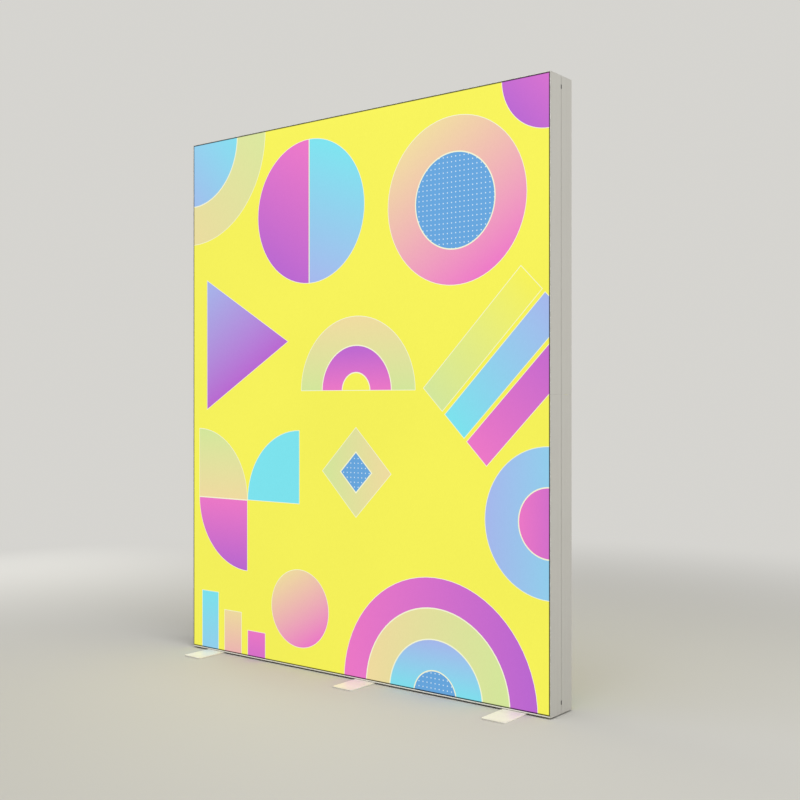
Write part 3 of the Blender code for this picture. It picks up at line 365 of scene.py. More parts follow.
def cap_outline(prism):
    """The corners of the prism's front cap, in order, as points of X and Z."""
    cap = min(prism.data.polygons, key=lambda face: face.center.y)
    corners = [prism.data.vertices[index].co for index in cap.vertices]
    return [Vector((corner.x, corner.z)) for corner in corners]


prisms = [motif_prism(*row[:7]) for row in MOTIFS]
outlines = [cap_outline(prism) for prism in prisms]
print("outline points:", [len(outline) for outline in outlines])

# %% Cut the cloth along the prisms
MERGE_DISTANCE = 0.0001

for prism in prisms:
    marks = prism.data.attributes.new("cutter", "INT", "FACE")
    marks.data.foreach_set("value", [1] * len(prism.data.polygons))
pick(cloth, *prisms)
bpy.ops.object.join()


def is_cutter(face):
    return cloth.data.attributes["cutter"].data[face.index].value == 1


pick_faces(cloth, is_cutter)
bpy.ops.mesh.intersect(mode="SELECT_UNSELECT", separate_mode="CUT", solver="EXACT")
close_edit()
pick_faces(cloth, is_cutter)
bpy.ops.mesh.delete(type="FACE")
bpy.ops.mesh.select_all(action="SELECT")
bpy.ops.mesh.remove_doubles(threshold=MERGE_DISTANCE)
bpy.ops.mesh.dissolve_degenerate(threshold=MERGE_DISTANCE)
close_edit()
cloth.data.attributes.remove(cloth.data.attributes["cutter"])
print("cloth faces after the cuts:", len(cloth.data.polygons))

# %% [markdown]
# ## Printed cloth: motifs and hairlines
#
# Each face now lies wholly inside or outside every motif, so one point of it tells which motif it belongs to.
# The centre won't do, as that of a ring lies in its hole; the middle of the face's largest triangle will. A
# pale hairline separates the colours, as printers leave it: the faces of one motif are inset together, and the
# narrow rim that the inset leaves is the hairline.

# %% Sort the faces by motif
HAIRLINE_WIDTH = 0.0026


def inside(outline, point):
    """True if a point lies in a convex outline."""
    sides = []
    for start, end in zip(outline, outline[1:] + outline[:1]):
        sides.append((end - start).cross(point - start) > 0)
    return all(sides) or not any(sides)


def motif_at(point):
    """The number of the last motif that covers a point, counted from 1, or 0 for the ground."""
    found = [number for number, outline in enumerate(outlines, 1) if inside(outline, point)]
    return found[-1] if found else 0


cloth.data.calc_loop_triangles()
numbers = [0] * len(cloth.data.polygons)
for triangle in sorted(cloth.data.loop_triangles, key=lambda triangle: triangle.area):
    corners = [cloth.data.vertices[index].co for index in triangle.vertices]
    centre = sum(corners, Vector()) / 3
    numbers[triangle.polygon_index] = motif_at(Vector((centre.x, centre.z)))
owners = cloth.data.attributes.new("owner", "INT", "FACE")
owners.data.foreach_set("value", numbers)
cloth.data.attributes.new("hairline", "INT", "FACE")
print("ground faces:", sum(1 for item in cloth.data.attributes["owner"].data if item.value == 0))


# %% Inset each motif for its hairline
def owner_of(face):
    return cloth.data.attributes["owner"].data[face.index].value


for number in range(1, len(MOTIFS) + 1):
    pick_faces(cloth, lambda face: owner_of(face) == number)
    bpy.ops.mesh.inset(thickness=HAIRLINE_WIDTH, use_boundary=False)
    close_edit()
    marks = cloth.data.attributes["hairline"].data
    for face in cloth.data.polygons:
        if owner_of(face) == number and not face.select:
            marks[face.index].value = 1
print("hairline faces:", sum(item.value for item in cloth.data.attributes["hairline"].data))


# %% [markdown]
# ## Printed cloth: bend and hem
#
# The border of the face is extruded in small steps round a quarter circle, and once more straight back for
# the hem. An extruded face takes its motif from its neighbour, so the print runs on round the bend.

# %% Bend and hem
BEND_STEPS = 6

hem = cloth_high.y - cloth_low.y - CLOTH_BEND
turns = [pi / 2 * step / BEND_STEPS for step in range(1, BEND_STEPS + 1)]
rings = [(CLOTH_BEND * sin(turn), CLOTH_BEND * (1 - cos(turn))) for turn in turns]
rings.append((CLOTH_BEND, CLOTH_BEND + hem))

pick(cloth)
bpy.ops.object.mode_set(mode="EDIT")
bpy.ops.mesh.select_mode(type="EDGE")
bpy.ops.mesh.select_all(action="DESELECT")
bpy.ops.mesh.select_non_manifold(extend=False)
width, height, depth = face_width, face_height, 0
for outwards, back in rings:
    wider, taller = face_width + 2 * outwards, face_height + 2 * outwards
    bpy.ops.mesh.extrude_region_move(TRANSFORM_OT_translate={"value": (0, back - depth, 0)})
    bpy.ops.transform.resize(value=(wider / width, 1, taller / height), center_override=face_centre)
    width, height, depth = wider, taller, back
close_edit()
print("cloth with its hem:", [round(v, 4) for v in cloth.dimensions])


# %% [markdown]
# ## Printed cloth: the inks
#
# The inks go into a colour attribute on the corners of the faces. An ink that runs changes evenly from its
# first to its last colour, so a face of any shape shows it. A second attribute marks the dotted faces.


# %% Lay the inks on the corners
def ink_at(number, point):
    """The ink of a motif at a point of the cloth."""
    if number == 0:
        return INKS[GROUND]
    first, last, run = MOTIFS[number - 1][7:]
    reaches = [corner.dot(way(run)) for corner in outlines[number - 1]]
    share = (point.dot(way(run)) - min(reaches)) / (max(reaches) - min(reaches))
    return INKS[first].lerp(INKS[last], min(max(share, 0), 1))


def lay_inks(piece):
    mesh = piece.data
    inks = mesh.color_attributes.new("print", "FLOAT_COLOR", "CORNER")
    dots = mesh.attributes.new("dots", "FLOAT", "FACE")
    for face in mesh.polygons:
        number = mesh.attributes["owner"].data[face.index].value
        is_line = mesh.attributes["hairline"].data[face.index].value
        dotted = number > 0 and MOTIFS[number - 1][7] == DOTTED and not is_line
        dots.data[face.index].value = 1.0 if dotted else 0.0
        for corner in face.loop_indices:
            place = mesh.vertices[mesh.loops[corner].vertex_index].co
            colour = INKS["hairline"] if is_line else ink_at(number, Vector((place.x, place.z)))
            inks.data[corner].color = (*colour, 1)


lay_inks(cloth)
for name in ("owner", "hairline"):
    cloth.data.attributes.remove(cloth.data.attributes[name])
print("printed corners:", len(cloth.data.loops))

# %% [markdown]
# ## Printed cloth: thickness and the second cloth
#
# Solidify gives the cloth its 0.4 mm inwards, so that the outside stays where the CAD cloth has it. The rear
# cloth is the same print on the other side of the wall: a copy with its own mesh, turned half round about Z.

# %% Thickness, copy and turn
SMOOTH_ANGLE = 30

pick(cloth)
shell = cloth.modifiers.new("thickness", "SOLIDIFY")
shell.thickness = CLOTH_THICKNESS
shell.offset = -1
bpy.ops.object.modifier_apply(modifier=shell.name)
bpy.ops.object.shade_smooth_by_angle(angle=radians(SMOOTH_ANGLE))
bpy.ops.object.duplicate()
rear_cloth = bpy.context.object
rear_cloth.name = "printed_cloth_rear"
bpy.ops.transform.rotate(value=pi, orient_axis="Z", center_override=(0, 0, 0))
bpy.ops.object.transform_apply()
print("rear cloth spans", [round(v, 4) for v in rear_cloth.dimensions])

# %% [markdown]
# ## Printed cloth: what carries it
#
# Each cloth rides on the frame's body and stands for its CAD node, which is hidden.

for piece, node in ((cloth, "front_graphic"), (rear_cloth, "rear_graphic")):
    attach(piece, "frame")
    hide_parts(node)

# %% [markdown]
# ## Finishes: a small kit
#
# A real surface is never one flat colour. Each finish below starts from the object's own coordinates, makes a
# few patterns with noise at the sizes that the real surface shows, and lets them move the colour, the
# roughness and the bump a little.


# %% Finish kit
class Finish:
    """A material in the making: each method adds a node and gives back the socket that leaves it."""

    def __init__(self, name, roughness, metallic=0.0):
        self.material = bpy.data.materials.new(name)
        self.material.use_nodes = True
        self.tree = self.material.node_tree
        self.shader = self.tree.nodes["Principled BSDF"]
        self.shader.inputs["Roughness"].default_value = roughness
        self.shader.inputs["Metallic"].default_value = metallic

    def feed(self, socket, value):
        """Wires another node's socket in, or types a plain value."""
        if isinstance(value, bpy.types.NodeSocket):
            self.tree.links.new(value, socket)
        else:
            socket.default_value = value

    def where(self, scale=(1, 1, 1)):
        """The place on the piece, stretched along each axis."""
        place = self.tree.nodes.new("ShaderNodeTexCoord")
        stretch = self.tree.nodes.new("ShaderNodeMapping")
        stretch.inputs["Scale"].default_value = scale
        self.feed(stretch.inputs["Vector"], place.outputs["Object"])
        return stretch.outputs["Vector"]

    def axis(self, where, name):
        split = self.tree.nodes.new("ShaderNodeSeparateXYZ")
        self.feed(split.inputs["Vector"], where)
        return split.outputs[name]

    def noise(self, where, scale=1.0, detail=2.0, roughness=0.5):
        made = self.tree.nodes.new("ShaderNodeTexNoise")
        self.feed(made.inputs["Vector"], where)
        made.inputs["Scale"].default_value = scale
        made.inputs["Detail"].default_value = detail
        made.inputs["Roughness"].default_value = roughness
        return made.outputs["Fac"]

    def cells(self, where, scale):
        """A random grey for each cell of a broken-up surface."""
        made = self.tree.nodes.new("ShaderNodeTexVoronoi")
        self.feed(made.inputs["Vector"], where)
        made.inputs["Scale"].default_value = scale
        split = self.tree.nodes.new("ShaderNodeSeparateColor")
        self.feed(split.inputs["Color"], made.outputs["Color"])
        return split.outputs["Red"]

    def maths(self, operation, first, second=0.0):
        made = self.tree.nodes.new("ShaderNodeMath")
        made.operation = operation
        self.feed(made.inputs[0], first)
        self.feed(made.inputs[1], second)
        return made.outputs["Value"]

    def span(self, value, low, high, first, last):
        """Maps low to high onto first to last, and holds the ends."""
        made = self.tree.nodes.new("ShaderNodeMapRange")
        made.interpolation_type = "SMOOTHSTEP"
        self.feed(made.inputs["Value"], value)
        made.inputs["From Min"].default_value = low
        made.inputs["From Max"].default_value = high
        made.inputs["To Min"].default_value = first
        made.inputs["To Max"].default_value = last
        return made.outputs["Result"]

    def within(self, value, reach, softness=0.02):
        """1 where a value is nearer to 0 than a reach, and 0 a little past it."""
        return self.span(self.maths("ABSOLUTE", value), reach, reach * (1 + softness), 1.0, 0.0)

    def mix(self, share, first, second):
        made = self.tree.nodes.new("ShaderNodeMix")
        made.data_type = "RGBA"
        self.feed(made.inputs[0], share)
        self.feed(made.inputs[6], first)
        self.feed(made.inputs[7], second)
        return made.outputs[2]

    def attribute(self, name, output="Color"):
        made = self.tree.nodes.new("ShaderNodeAttribute")
        made.attribute_name = name
        return made.outputs[output]

    def colour(self, value):
        self.feed(self.shader.inputs["Base Color"], value)

    def roughness(self, value):
        self.feed(self.shader.inputs["Roughness"], value)

    def bump(self, height, distance, strength=1.0):
        made = self.tree.nodes.new("ShaderNodeBump")
        made.inputs["Strength"].default_value = strength
        made.inputs["Distance"].default_value = distance
        self.feed(made.inputs["Height"], height)
        self.feed(self.shader.inputs["Normal"], made.outputs["Normal"])


def paint(red, green, blue):
    """A screen colour as a socket's four numbers."""
    return (*ink(red, green, blue), 1)


def put_on(finish, *starts):
    """Gives a finish to each CAD node whose name begins with one of these words."""
    names = [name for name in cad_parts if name.startswith(starts)]
    for name in names:
        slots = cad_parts[name].data.materials
        slots.clear()
        slots.append(finish.material)
    print(finish.material.name, "on", len(names), "nodes")


# %% [markdown]
# ## Finish: backlit print
#
# The cloth is a fine knit that lets the light of the bars through. Nearly all that the eye sees is light from
# behind, so most of each ink glows and only a small share is lit from the front. The frame's groove shuts
# that light off a few millimetres before the cloth ends, and ink with no light behind it looks dark: this is
# the thin dark line round the print. At the bottom the photograph shows a pale strip under that line: the
# rail's lip together with a narrow unprinted margin, which glows faintly through the silicone behind it. The
# knit shows as a fine grid in the bump, the glow is a little uneven, and the blue inks carry white dots.

# %% Backlit print
GLOW_SHARE = 0.88
LIT_SHARE = 0.15
DOT_PITCH = 0.021
DOT_RADIUS = 0.0027
DOT_SOFTNESS = 0.15
DOT_WHITE = paint(214, 236, 250)
KNIT_PITCH = 0.0009
KNIT_RELIEF = 0.00008
YARN_STRETCH = (1600, 40, 90)
YARN_TONES = (0.975, 1.02)
CLOUD_TONES = (0.985, 1.01)
LIGHT_STARTS = 0.0056
LIGHT_FULL = 0.0084
BOTTOM_LIGHT_STARTS = 0.0098
BOTTOM_LIGHT_FULL = 0.0126
MARGIN_STARTS = 0.0058
MARGIN_FULL = 0.0054
MARGIN_SHARE = 0.95
MARGIN_GLOW = 0.6
MARGIN_WHITE = paint(240, 238, 230)
HALF_WIDTH = wall_high.x
HALF_HEIGHT = (wall_high.z - wall_low.z) / 2


def wall_distances(finish, here):
    """How far a point lies in from the nearer side, in from the nearer end, and above the middle."""
    from_side = finish.maths("SUBTRACT", HALF_WIDTH, finish.maths("ABSOLUTE", finish.axis(here, "X")))
    above_middle = finish.maths("SUBTRACT", finish.axis(here, "Z"), WALL_MIDDLE)
    from_end = finish.maths("SUBTRACT", HALF_HEIGHT, finish.maths("ABSOLUTE", above_middle))
    return from_side, from_end, above_middle


def dot_grid(finish, pitch, radius):
    """1 on a round dot in each square of an upright grid, 0 elsewhere."""
    where = finish.where((1 / pitch, 1, 1 / pitch))
    offsets = []
    for axis in ("X", "Z"):
        offset = finish.maths("SUBTRACT", finish.maths("FRACT", finish.axis(where, axis)), 0.5)
        offsets.append(finish.maths("MULTIPLY", offset, offset))
    distance = finish.maths("SQRT", finish.maths("ADD", *offsets))
    edge = radius / pitch
    return finish.span(distance, edge * (1 - DOT_SOFTNESS), edge * (1 + DOT_SOFTNESS), 1.0, 0.0)


def backlit_print():
    finish = Finish("backlit_print", 0.75)
    grid = dot_grid(finish, DOT_PITCH, DOT_RADIUS)
    dots = finish.maths("MULTIPLY", grid, finish.attribute("dots", "Fac"))
    inked = finish.mix(dots, finish.attribute("print"), DOT_WHITE)
    here = finish.where()
    cloudy = finish.span(finish.noise(here, 1.3, 1.0), 0.3, 0.7, *CLOUD_TONES)
    yarns = finish.noise(finish.where(YARN_STRETCH), 1.0, 1.0)
    yarn_tone = finish.span(yarns, 0.25, 0.75, *YARN_TONES)
    from_side, from_end, above_middle = wall_distances(finish, here)
    from_edge = finish.maths("MINIMUM", from_side, from_end)
    above_bottom = finish.maths("ADD", above_middle, HALF_HEIGHT)
    lit_from_behind = finish.maths(
        "MULTIPLY",
        finish.span(from_edge, LIGHT_STARTS, LIGHT_FULL, 0.0, 1.0),
        finish.span(above_bottom, BOTTOM_LIGHT_STARTS, BOTTOM_LIGHT_FULL, 0.0, 1.0),
    )
    margin = finish.span(above_bottom, MARGIN_FULL, MARGIN_STARTS, 1.0, 0.0)
    tone = finish.maths("MULTIPLY", cloudy, yarn_tone)
    glow = finish.maths("MULTIPLY", finish.maths("MULTIPLY", tone, lit_from_behind), GLOW_SHARE)
    black = (0, 0, 0, 1)
    shaded = finish.mix(finish.maths("MULTIPLY", yarn_tone, LIT_SHARE), black, inked)
    finish.colour(finish.mix(finish.maths("MULTIPLY", margin, MARGIN_SHARE), shaded, MARGIN_WHITE))
    finish.feed(finish.shader.inputs["Emission Color"], finish.mix(margin, inked, MARGIN_WHITE))
    margin_glow = finish.maths("MULTIPLY", margin, MARGIN_GLOW)
    finish.feed(finish.shader.inputs["Emission Strength"], finish.maths("ADD", glow, margin_glow))
    finish.shader.inputs["Sheen Weight"].default_value = 0.08
    finish.shader.inputs["Specular IOR Level"].default_value = 0.25
    wales = finish.maths("SINE", finish.axis(finish.where((2 * pi / KNIT_PITCH, 1, 1)), "X"))
    courses = finish.maths("SINE", finish.axis(finish.where((1, 1, 2 * pi / KNIT_PITCH)), "Z"))
    finish.bump(finish.maths("ADD", wales, courses), KNIT_RELIEF, 0.5)
    return finish


print_finish = backlit_print()
for piece in (cloth, rear_cloth):
    piece.data.materials.clear()
    piece.data.materials.append(print_finish.material)
print("print on", cloth.name, "and", rear_cloth.name)

# %% [markdown]
# ## Finish: painted extrusion
#
# The frame is aluminium pressed through a die and coated in a satin light grey. The die leaves faint lines
# along the length, and the coat has a slight cloudiness, a very fine grain and a few light scuffs. A highlight
# is painted along the outer edges: a lighter grey over the front and rear faces of the lips and the edges beside
# them. The slots for the latches are punched after coating, and their walls are painted dark grey as the shade
# inside them. Uprights and rails run different ways, so each gets the lines along its own.

# %% Painted extrusion
FRAME_GREY = paint(187, 185, 178)
# Lighter grey for the real scuffs and for the painted highlight along the outer edges
SCUFF_AND_HIGHLIGHT_GREY = paint(214, 213, 207)
SCUFFED_GREY = paint(168, 166, 158)
# Dark grey painted on the slot walls, as the shade inside the slots
SLOT_SHADE_GREY = paint(56, 55, 53)
HALF_DEPTH = -WALL_FRONT
# Width of the band of painted highlight along the outer edges
HIGHLIGHT_BAND_WIDTH = 0.0009
SLOT_FROM_END = 0.044
SLOT_REACH = 0.0095
SLOT_HALF_WIDTH = 0.0038
SLOT_SHADE_SOFTNESS = 0.05
COAT_DEPTH = 0.0002
COAT_GRAIN_SCALE = 900.0
COAT_RELIEF = 0.00005
SCUFF_STRETCH = (9, 60, 22)
UPRIGHT_LINES = ((700, 700, 1.2), (60, 60, 0.35))
RAIL_LINES = ((1.2, 700, 700), (0.35, 60, 60))


def painted_slot_shade(finish):
    """1 on the walls of the punched slots, where dark shade is painted, 0 elsewhere."""
    here = finish.where()
    from_side, from_end = wall_distances(finish, here)[:2]
    below_face = finish.maths("MINIMUM", from_side, from_end)
    off_slot = finish.maths("SUBTRACT", finish.maths("MAXIMUM", from_side, from_end), SLOT_FROM_END)
    deep = finish.span(below_face, COAT_DEPTH, COAT_DEPTH * 2, 0.0, 1.0)
    near_end = finish.within(off_slot, SLOT_REACH, SLOT_SHADE_SOFTNESS)
    near_line = finish.within(finish.axis(here, "Y"), SLOT_HALF_WIDTH, SLOT_SHADE_SOFTNESS)
    return finish.maths("MULTIPLY", finish.maths("MULTIPLY", deep, near_end), near_line)


def extrusion(name, fine, broad):
    """A coated extrusion; fine and broad stretch the die lines along the piece."""
    finish = Finish(name, 0.4, 0.15)
    here = finish.where()
    fine_lines = finish.noise(finish.where(fine), 1.0, 2.0)
    broad_lines = finish.noise(finish.where(broad), 1.0, 2.0)
    clouds = finish.noise(here, 2.6, 3.0, 0.6)
    grain = finish.noise(here, COAT_GRAIN_SCALE, 2.0)
    scuffs = finish.noise(finish.where(SCUFF_STRETCH), 1.0, 4.0, 0.7)
    line_part = finish.maths("MULTIPLY", broad_lines, 0.6)
    tone = finish.maths("ADD", line_part, finish.maths("MULTIPLY", clouds, 0.4))
    coated = finish.mix(finish.span(tone, 0.35, 0.65, 0.0, 0.22), FRAME_GREY, SCUFFED_GREY)
    coated = finish.mix(finish.span(fine_lines, 0.62, 0.8, 0.0, 0.25), coated, SCUFFED_GREY)
    coated = finish.mix(finish.span(scuffs, 0.66, 0.76, 0.0, 0.30), coated, SCUFF_AND_HIGHLIGHT_GREY)
    # Painted highlight: a lighter grey on the front and rear faces of the lips and along their edges
    edge = finish.maths("ABSOLUTE", finish.axis(here, "Y"))
    highlight_noise = finish.noise(here, 35.0, 3.0, 0.6)
    highlight_band = finish.span(edge, HALF_DEPTH - HIGHLIGHT_BAND_WIDTH * 2, HALF_DEPTH - HIGHLIGHT_BAND_WIDTH, 0.0, 1.0)
    painted_highlight = finish.maths("MULTIPLY", highlight_band, finish.span(highlight_noise, 0.4, 0.6, 0.3, 0.9))
    # The slot walls take a painted dark shade; the rest takes the coat and the painted edge highlight
    finish.colour(finish.mix(painted_slot_shade(finish), finish.mix(painted_highlight, coated, SCUFF_AND_HIGHLIGHT_GREY), SLOT_SHADE_GREY))
    finish.roughness(finish.span(finish.maths("ADD", fine_lines, clouds), 0.7, 1.3, 0.39, 0.47))
    lines_relief = finish.maths("MULTIPLY", fine_lines, 0.7)
    relief = finish.maths("ADD", lines_relief, finish.maths("MULTIPLY", grain, 0.5))
    finish.bump(relief, COAT_RELIEF, 0.6)
    return finish


put_on(extrusion("extrusion_upright", *UPRIGHT_LINES), "profile_left", "profile_right")
put_on(extrusion("extrusion_rail", *RAIL_LINES), "profile_bottom", "profile_top")

# %% [markdown]
# ## Finish: powder-coated foot plates
#
# The feet are steel plate with a warm white powder coat. Powder flows into a fine orange peel, about two
# millimetres from bump to bump, and a foot gets grey scuffs from shoes, in streaks and specks over a faintly
# cloudy white.

# %% Powder coat
FOOT_WHITE = paint(240, 237, 225)
FOOT_SCUFF = paint(206, 202, 190)
PEEL_SCALE = 420.0
PEEL_RELIEF = 0.00012
SPECK_SCALE = 600.0
STROKE_STRETCH = (14, 90, 14)


def powder_coat():
    finish = Finish("powder_coat", 0.42)
    here = finish.where()
    peel = finish.noise(here, PEEL_SCALE, 1.0)
    clouds = finish.noise(here, 9.0, 3.0, 0.6)
    strokes = finish.noise(finish.where(STROKE_STRETCH), 1.0, 4.0, 0.7)
    specks = finish.noise(here, SPECK_SCALE, 0.0)
    coat = finish.mix(finish.span(clouds, 0.35, 0.7, 0.0, 0.3), FOOT_WHITE, FOOT_SCUFF)
    coat = finish.mix(finish.span(strokes, 0.64, 0.74, 0.0, 0.5), coat, FOOT_SCUFF)
    coat = finish.mix(finish.span(specks, 0.74, 0.8, 0.0, 0.35), coat, FOOT_SCUFF)
    finish.colour(coat)
    finish.roughness(finish.span(finish.maths("ADD", strokes, clouds), 0.7, 1.3, 0.36, 0.55))
    finish.bump(peel, PEEL_RELIEF, 0.7)
    finish.shader.inputs["Coat Weight"].default_value = 0.15
    finish.shader.inputs["Coat Roughness"].default_value = 0.25
    return finish


put_on(powder_coat(), "foot_plate")

# %% [markdown]
# ## Finish: bare metals
#
# Five metals are hidden in or under the frame. They differ in how they were made: cast and blasted
# connectors, a drawn brace tube with lines along it, zinc plate with its crystal spangle, plated screws, and
# dark spring steel latches. One helper makes them from two colours, a pattern and the height of its relief.


# %% Bare metals
def metal(name, dark, light, roughness, pattern, relief):
    """A metal whose pattern moves its colour, roughness and bump.

    The pattern is a function that takes the finish and gives a grey; relief is the bump's height in metres.
    """
    finish = Finish(name, roughness, 1.0)
    figure = pattern(finish)
    stains = finish.noise(finish.where(), 14.0, 3.0, 0.6)
    tone = finish.mix(finish.span(figure, 0.3, 0.7, 0.0, 1.0), dark, light)
    finish.colour(finish.mix(finish.span(stains, 0.55, 0.75, 0.0, 0.25), tone, dark))
    finish.roughness(finish.span(figure, 0.3, 0.7, roughness + 0.08, roughness - 0.06))
    finish.bump(figure, relief)
    return finish


def blasted(finish):
    return finish.noise(finish.where(), 700.0, 3.0, 0.7)


def drawn(finish):
    return finish.noise(finish.where((1.5, 800, 800)), 1.0, 2.0)


def spangle(finish):
    return finish.cells(finish.where(), 160.0)


def brushed(finish):
    return finish.noise(finish.where((900, 900, 60)), 1.0, 2.0)


CONNECTORS = ("corner_connector", "joint_connector")

# A row gives: name, dark and light colour, roughness, pattern, relief, and the first words of the nodes' names
METALS = [
    ("cast_aluminium", (150, 152, 154), (182, 184, 186), 0.5, blasted, 0.00012, CONNECTORS),
    ("drawn_aluminium", (176, 178, 180), (206, 208, 210), 0.36, drawn, 0.00004, ("brace_tube",)),
    ("spangled_zinc", (158, 162, 166), (196, 200, 203), 0.38, spangle, 0.00002, ("driver_tray", "foot_nut_plate")),
    ("plated_screw", (170, 172, 170), (206, 207, 202), 0.3, brushed, 0.00003, ("foot_screw",)),
    ("blued_spring_steel", (38, 38, 41), (60, 60, 64), 0.42, brushed, 0.00003, ("latch_",)),
]
for name, dark, light, roughness, pattern, relief, starts in METALS:
    put_on(metal(name, paint(*dark), paint(*light), roughness, pattern, relief), *starts)

# %% [markdown]
# ## Finish: plastics and rubber
#
# Moulded plastic has the spark-eroded grain of its mould, a fine even pebble, and shows dust and finger
# marks as changes in gloss more than in colour. The silicone strips are softer and more matt, and the cable
# jackets are smooth, with a coarser and lower grain. Two pieces show a second finish in places: the
# inlet's contacts are nickel plate, and the rocker has a printed bar for on and a ring for off. Both are told
# from the rest by their place on the piece.


# %% Places of a second finish
CONTACT_NICKEL = paint(206, 202, 188)
CONTACT_HALF_SPREAD = 0.0095
CONTACT_HALF_HEIGHT = 0.0045
CONTACT_BELOW_MIDDLE = 0.0125
SOCKET_FLOOR = 0.0149
SOCKET_FLOOR_SOFTNESS = 0.005
MARK_WHITE = paint(214, 214, 208)
MARK_FROM_PIVOT = 0.0033
MARK_HALF_LENGTH = 0.0014
MARK_HALF_LINE = 0.0003


def from_middle(finish, node):
    """How far a point lies from the middle of a node's box, along Y and along Z."""
    low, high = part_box(node)
    here = finish.where()
    along_y = finish.maths("SUBTRACT", finish.axis(here, "Y"), (low.y + high.y) / 2)
    return along_y, finish.maths("SUBTRACT", finish.axis(here, "Z"), (low.z + high.z) / 2)


def contacts(finish):
    """1 on the three contacts in the inlet's socket."""
    along_y, along_z = from_middle(finish, "inlet_housing")
    depth = finish.maths("ADD", finish.axis(finish.where(), "X"), HALF_WIDTH)
    past_floor = SOCKET_FLOOR * (1 + SOCKET_FLOOR_SOFTNESS)
    before_floor = finish.span(depth, SOCKET_FLOOR, past_floor, 1.0, 0.0)
    spread = finish.within(along_y, CONTACT_HALF_SPREAD)
    height = finish.within(finish.maths("ADD", along_z, CONTACT_BELOW_MIDDLE), CONTACT_HALF_HEIGHT)
    return finish.maths("MULTIPLY", finish.maths("MULTIPLY", spread, height), before_floor)


def switch_marks(finish):
    """1 on the bar above the rocker's pivot and on the ring below it."""
    along_y, along_z = from_middle(finish, "rocker_switch")
    above = finish.maths("SUBTRACT", along_z, MARK_FROM_PIVOT)
    bar_width = finish.within(along_y, MARK_HALF_LINE)
    bar = finish.maths("MULTIPLY", bar_width, finish.within(above, MARK_HALF_LENGTH))
    below = finish.maths("ADD", along_z, MARK_FROM_PIVOT)
    squares = [finish.maths("MULTIPLY", value, value) for value in (along_y, below)]
    radius = finish.maths("SQRT", finish.maths("ADD", *squares))
    off_ring = finish.maths("SUBTRACT", radius, MARK_HALF_LENGTH - MARK_HALF_LINE)
    ring = finish.within(off_ring, MARK_HALF_LINE)
    return finish.maths("MAXIMUM", bar, ring)


# %% Moulded pieces
def moulded(name, main, worn, roughness, grain_size, relief, second=None):
    """A moulded piece with a pebble grain; grain_size and relief are its length and height in metres.

    second, if given, is another finish on part of the piece: the function of its place, its colour, and
    whether it is a metal.
    """
    finish = Finish(name, roughness)
    here = finish.where()
    pebble = finish.noise(here, 1 / grain_size, 2.0, 0.6)
    marks = finish.noise(here, 28.0, 4.0, 0.65)
    dust = finish.noise(here, 300.0, 3.0, 0.7)
    tone = finish.mix(finish.span(marks, 0.4, 0.75, 0.0, 0.5), main, worn)
    tone = finish.mix(finish.span(dust, 0.62, 0.75, 0.0, 0.35), tone, worn)
    if second:
        place_of, colour, is_metal = second
        share = place_of(finish)
        tone = finish.mix(share, tone, colour)
        if is_metal:
            finish.feed(finish.shader.inputs["Metallic"], share)
    finish.colour(tone)
    finish.roughness(finish.span(marks, 0.3, 0.7, roughness - 0.08, roughness + 0.1))
    finish.bump(pebble, relief)
    return finish


PLATED_CONTACTS = (contacts, CONTACT_NICKEL, True)
PRINTED_MARKS = (switch_marks, MARK_WHITE, False)
EDGE_STRIPS = ("front_edge_strip", "rear_edge_strip")
LIGHT_LEADS = ("led_cable", "link_cable")

# A row gives: name, main and worn colour, roughness, grain size, relief, second finish, and the first words of
# the nodes' names
MOULDED = [
    ("moulded_black", (34, 34, 36), (52, 52, 54), 0.48, 0.0007, 0.00005, PLATED_CONTACTS, ("inlet_housing",)),
    ("glass_filled_nylon", (38, 38, 40), (60, 60, 62), 0.6, 0.0012, 0.00008, None, ("brace_shoe",)),
    ("rocker_black", (28, 28, 30), (44, 44, 46), 0.3, 0.0009, 0.00002, PRINTED_MARKS, ("rocker_switch",)),
    ("drawer_black", (40, 40, 42), (58, 58, 60), 0.42, 0.0008, 0.00004, None, ("fuse_drawer",)),
    ("silicone_strip", (222, 222, 216), (200, 200, 192), 0.62, 0.0015, 0.00003, None, EDGE_STRIPS),
    ("mains_jacket", (46, 46, 48), (64, 64, 66), 0.5, 0.003, 0.00003, None, ("mains_cable",)),
    ("light_lead_jacket", (226, 226, 220), (202, 202, 196), 0.5, 0.003, 0.00003, None, LIGHT_LEADS),
]
for name, main, worn, roughness, grain_size, relief, second, starts in MOULDED:
    put_on(moulded(name, paint(*main), paint(*worn), roughness, grain_size, relief, second), *starts)

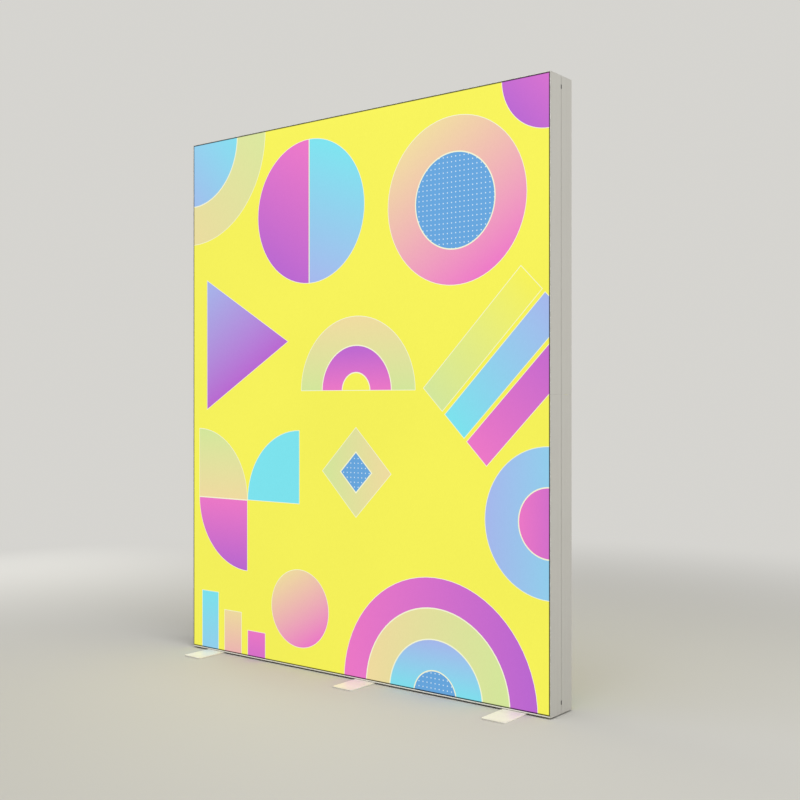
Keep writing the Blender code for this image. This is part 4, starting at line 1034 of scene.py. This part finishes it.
# %% [markdown]
# ## Finish: light bars and driver
#
# The boards are white solder mask over copper: the tracks show as faint raised stripes. The lens strips are
# clear acrylic. The driver's housing is cast and coated dark grey.


# %% Boards, lenses and driver
TRACK_SCALE = 420
MASK_WHITE = paint(236, 238, 234)
TRACK_WHITE = paint(206, 216, 206)
FLUX_GREY = paint(196, 196, 188)
ACRYLIC_CLEAR = paint(246, 250, 252)
ACRYLIC_TINT = paint(226, 236, 240)
ACRYLIC_TRANSMISSION = 0.85
ACRYLIC_IOR = 1.49


def solder_mask():
    finish = Finish("solder_mask", 0.4)
    here = finish.where()
    across = finish.axis(finish.where((1, TRACK_SCALE, 1)), "Y")
    tracks = finish.span(finish.maths("SINE", across), -0.2, 0.2, 0.0, 1.0)
    specks = finish.noise(here, 240.0, 3.0, 0.6)
    mask = finish.mix(finish.maths("MULTIPLY", tracks, 0.25), MASK_WHITE, TRACK_WHITE)
    finish.colour(finish.mix(finish.span(specks, 0.6, 0.75, 0.0, 0.3), mask, FLUX_GREY))
    finish.roughness(finish.span(specks, 0.3, 0.7, 0.32, 0.48))
    finish.bump(finish.maths("ADD", tracks, finish.maths("MULTIPLY", specks, 0.2)), 0.00004)
    return finish


def clear_acrylic():
    finish = Finish("clear_acrylic", 0.08)
    here = finish.where()
    flow = finish.noise(finish.where((60, 60, 8)), 1.0, 2.0)
    finish.colour(finish.mix(finish.span(flow, 0.35, 0.65, 0.0, 0.3), ACRYLIC_CLEAR, ACRYLIC_TINT))
    finish.roughness(finish.span(finish.noise(here, 90.0, 3.0), 0.4, 0.7, 0.06, 0.16))
    finish.shader.inputs["Transmission Weight"].default_value = ACRYLIC_TRANSMISSION
    finish.shader.inputs["IOR"].default_value = ACRYLIC_IOR
    finish.bump(flow, 0.00002)
    return finish


put_on(solder_mask(), "led_board")
put_on(clear_acrylic(), "led_lens_strip")
driver_coat = moulded("driver_coat", paint(108, 110, 112), paint(134, 136, 138), 0.45, 0.0010, 0.00006)
put_on(driver_coat, "led_driver")
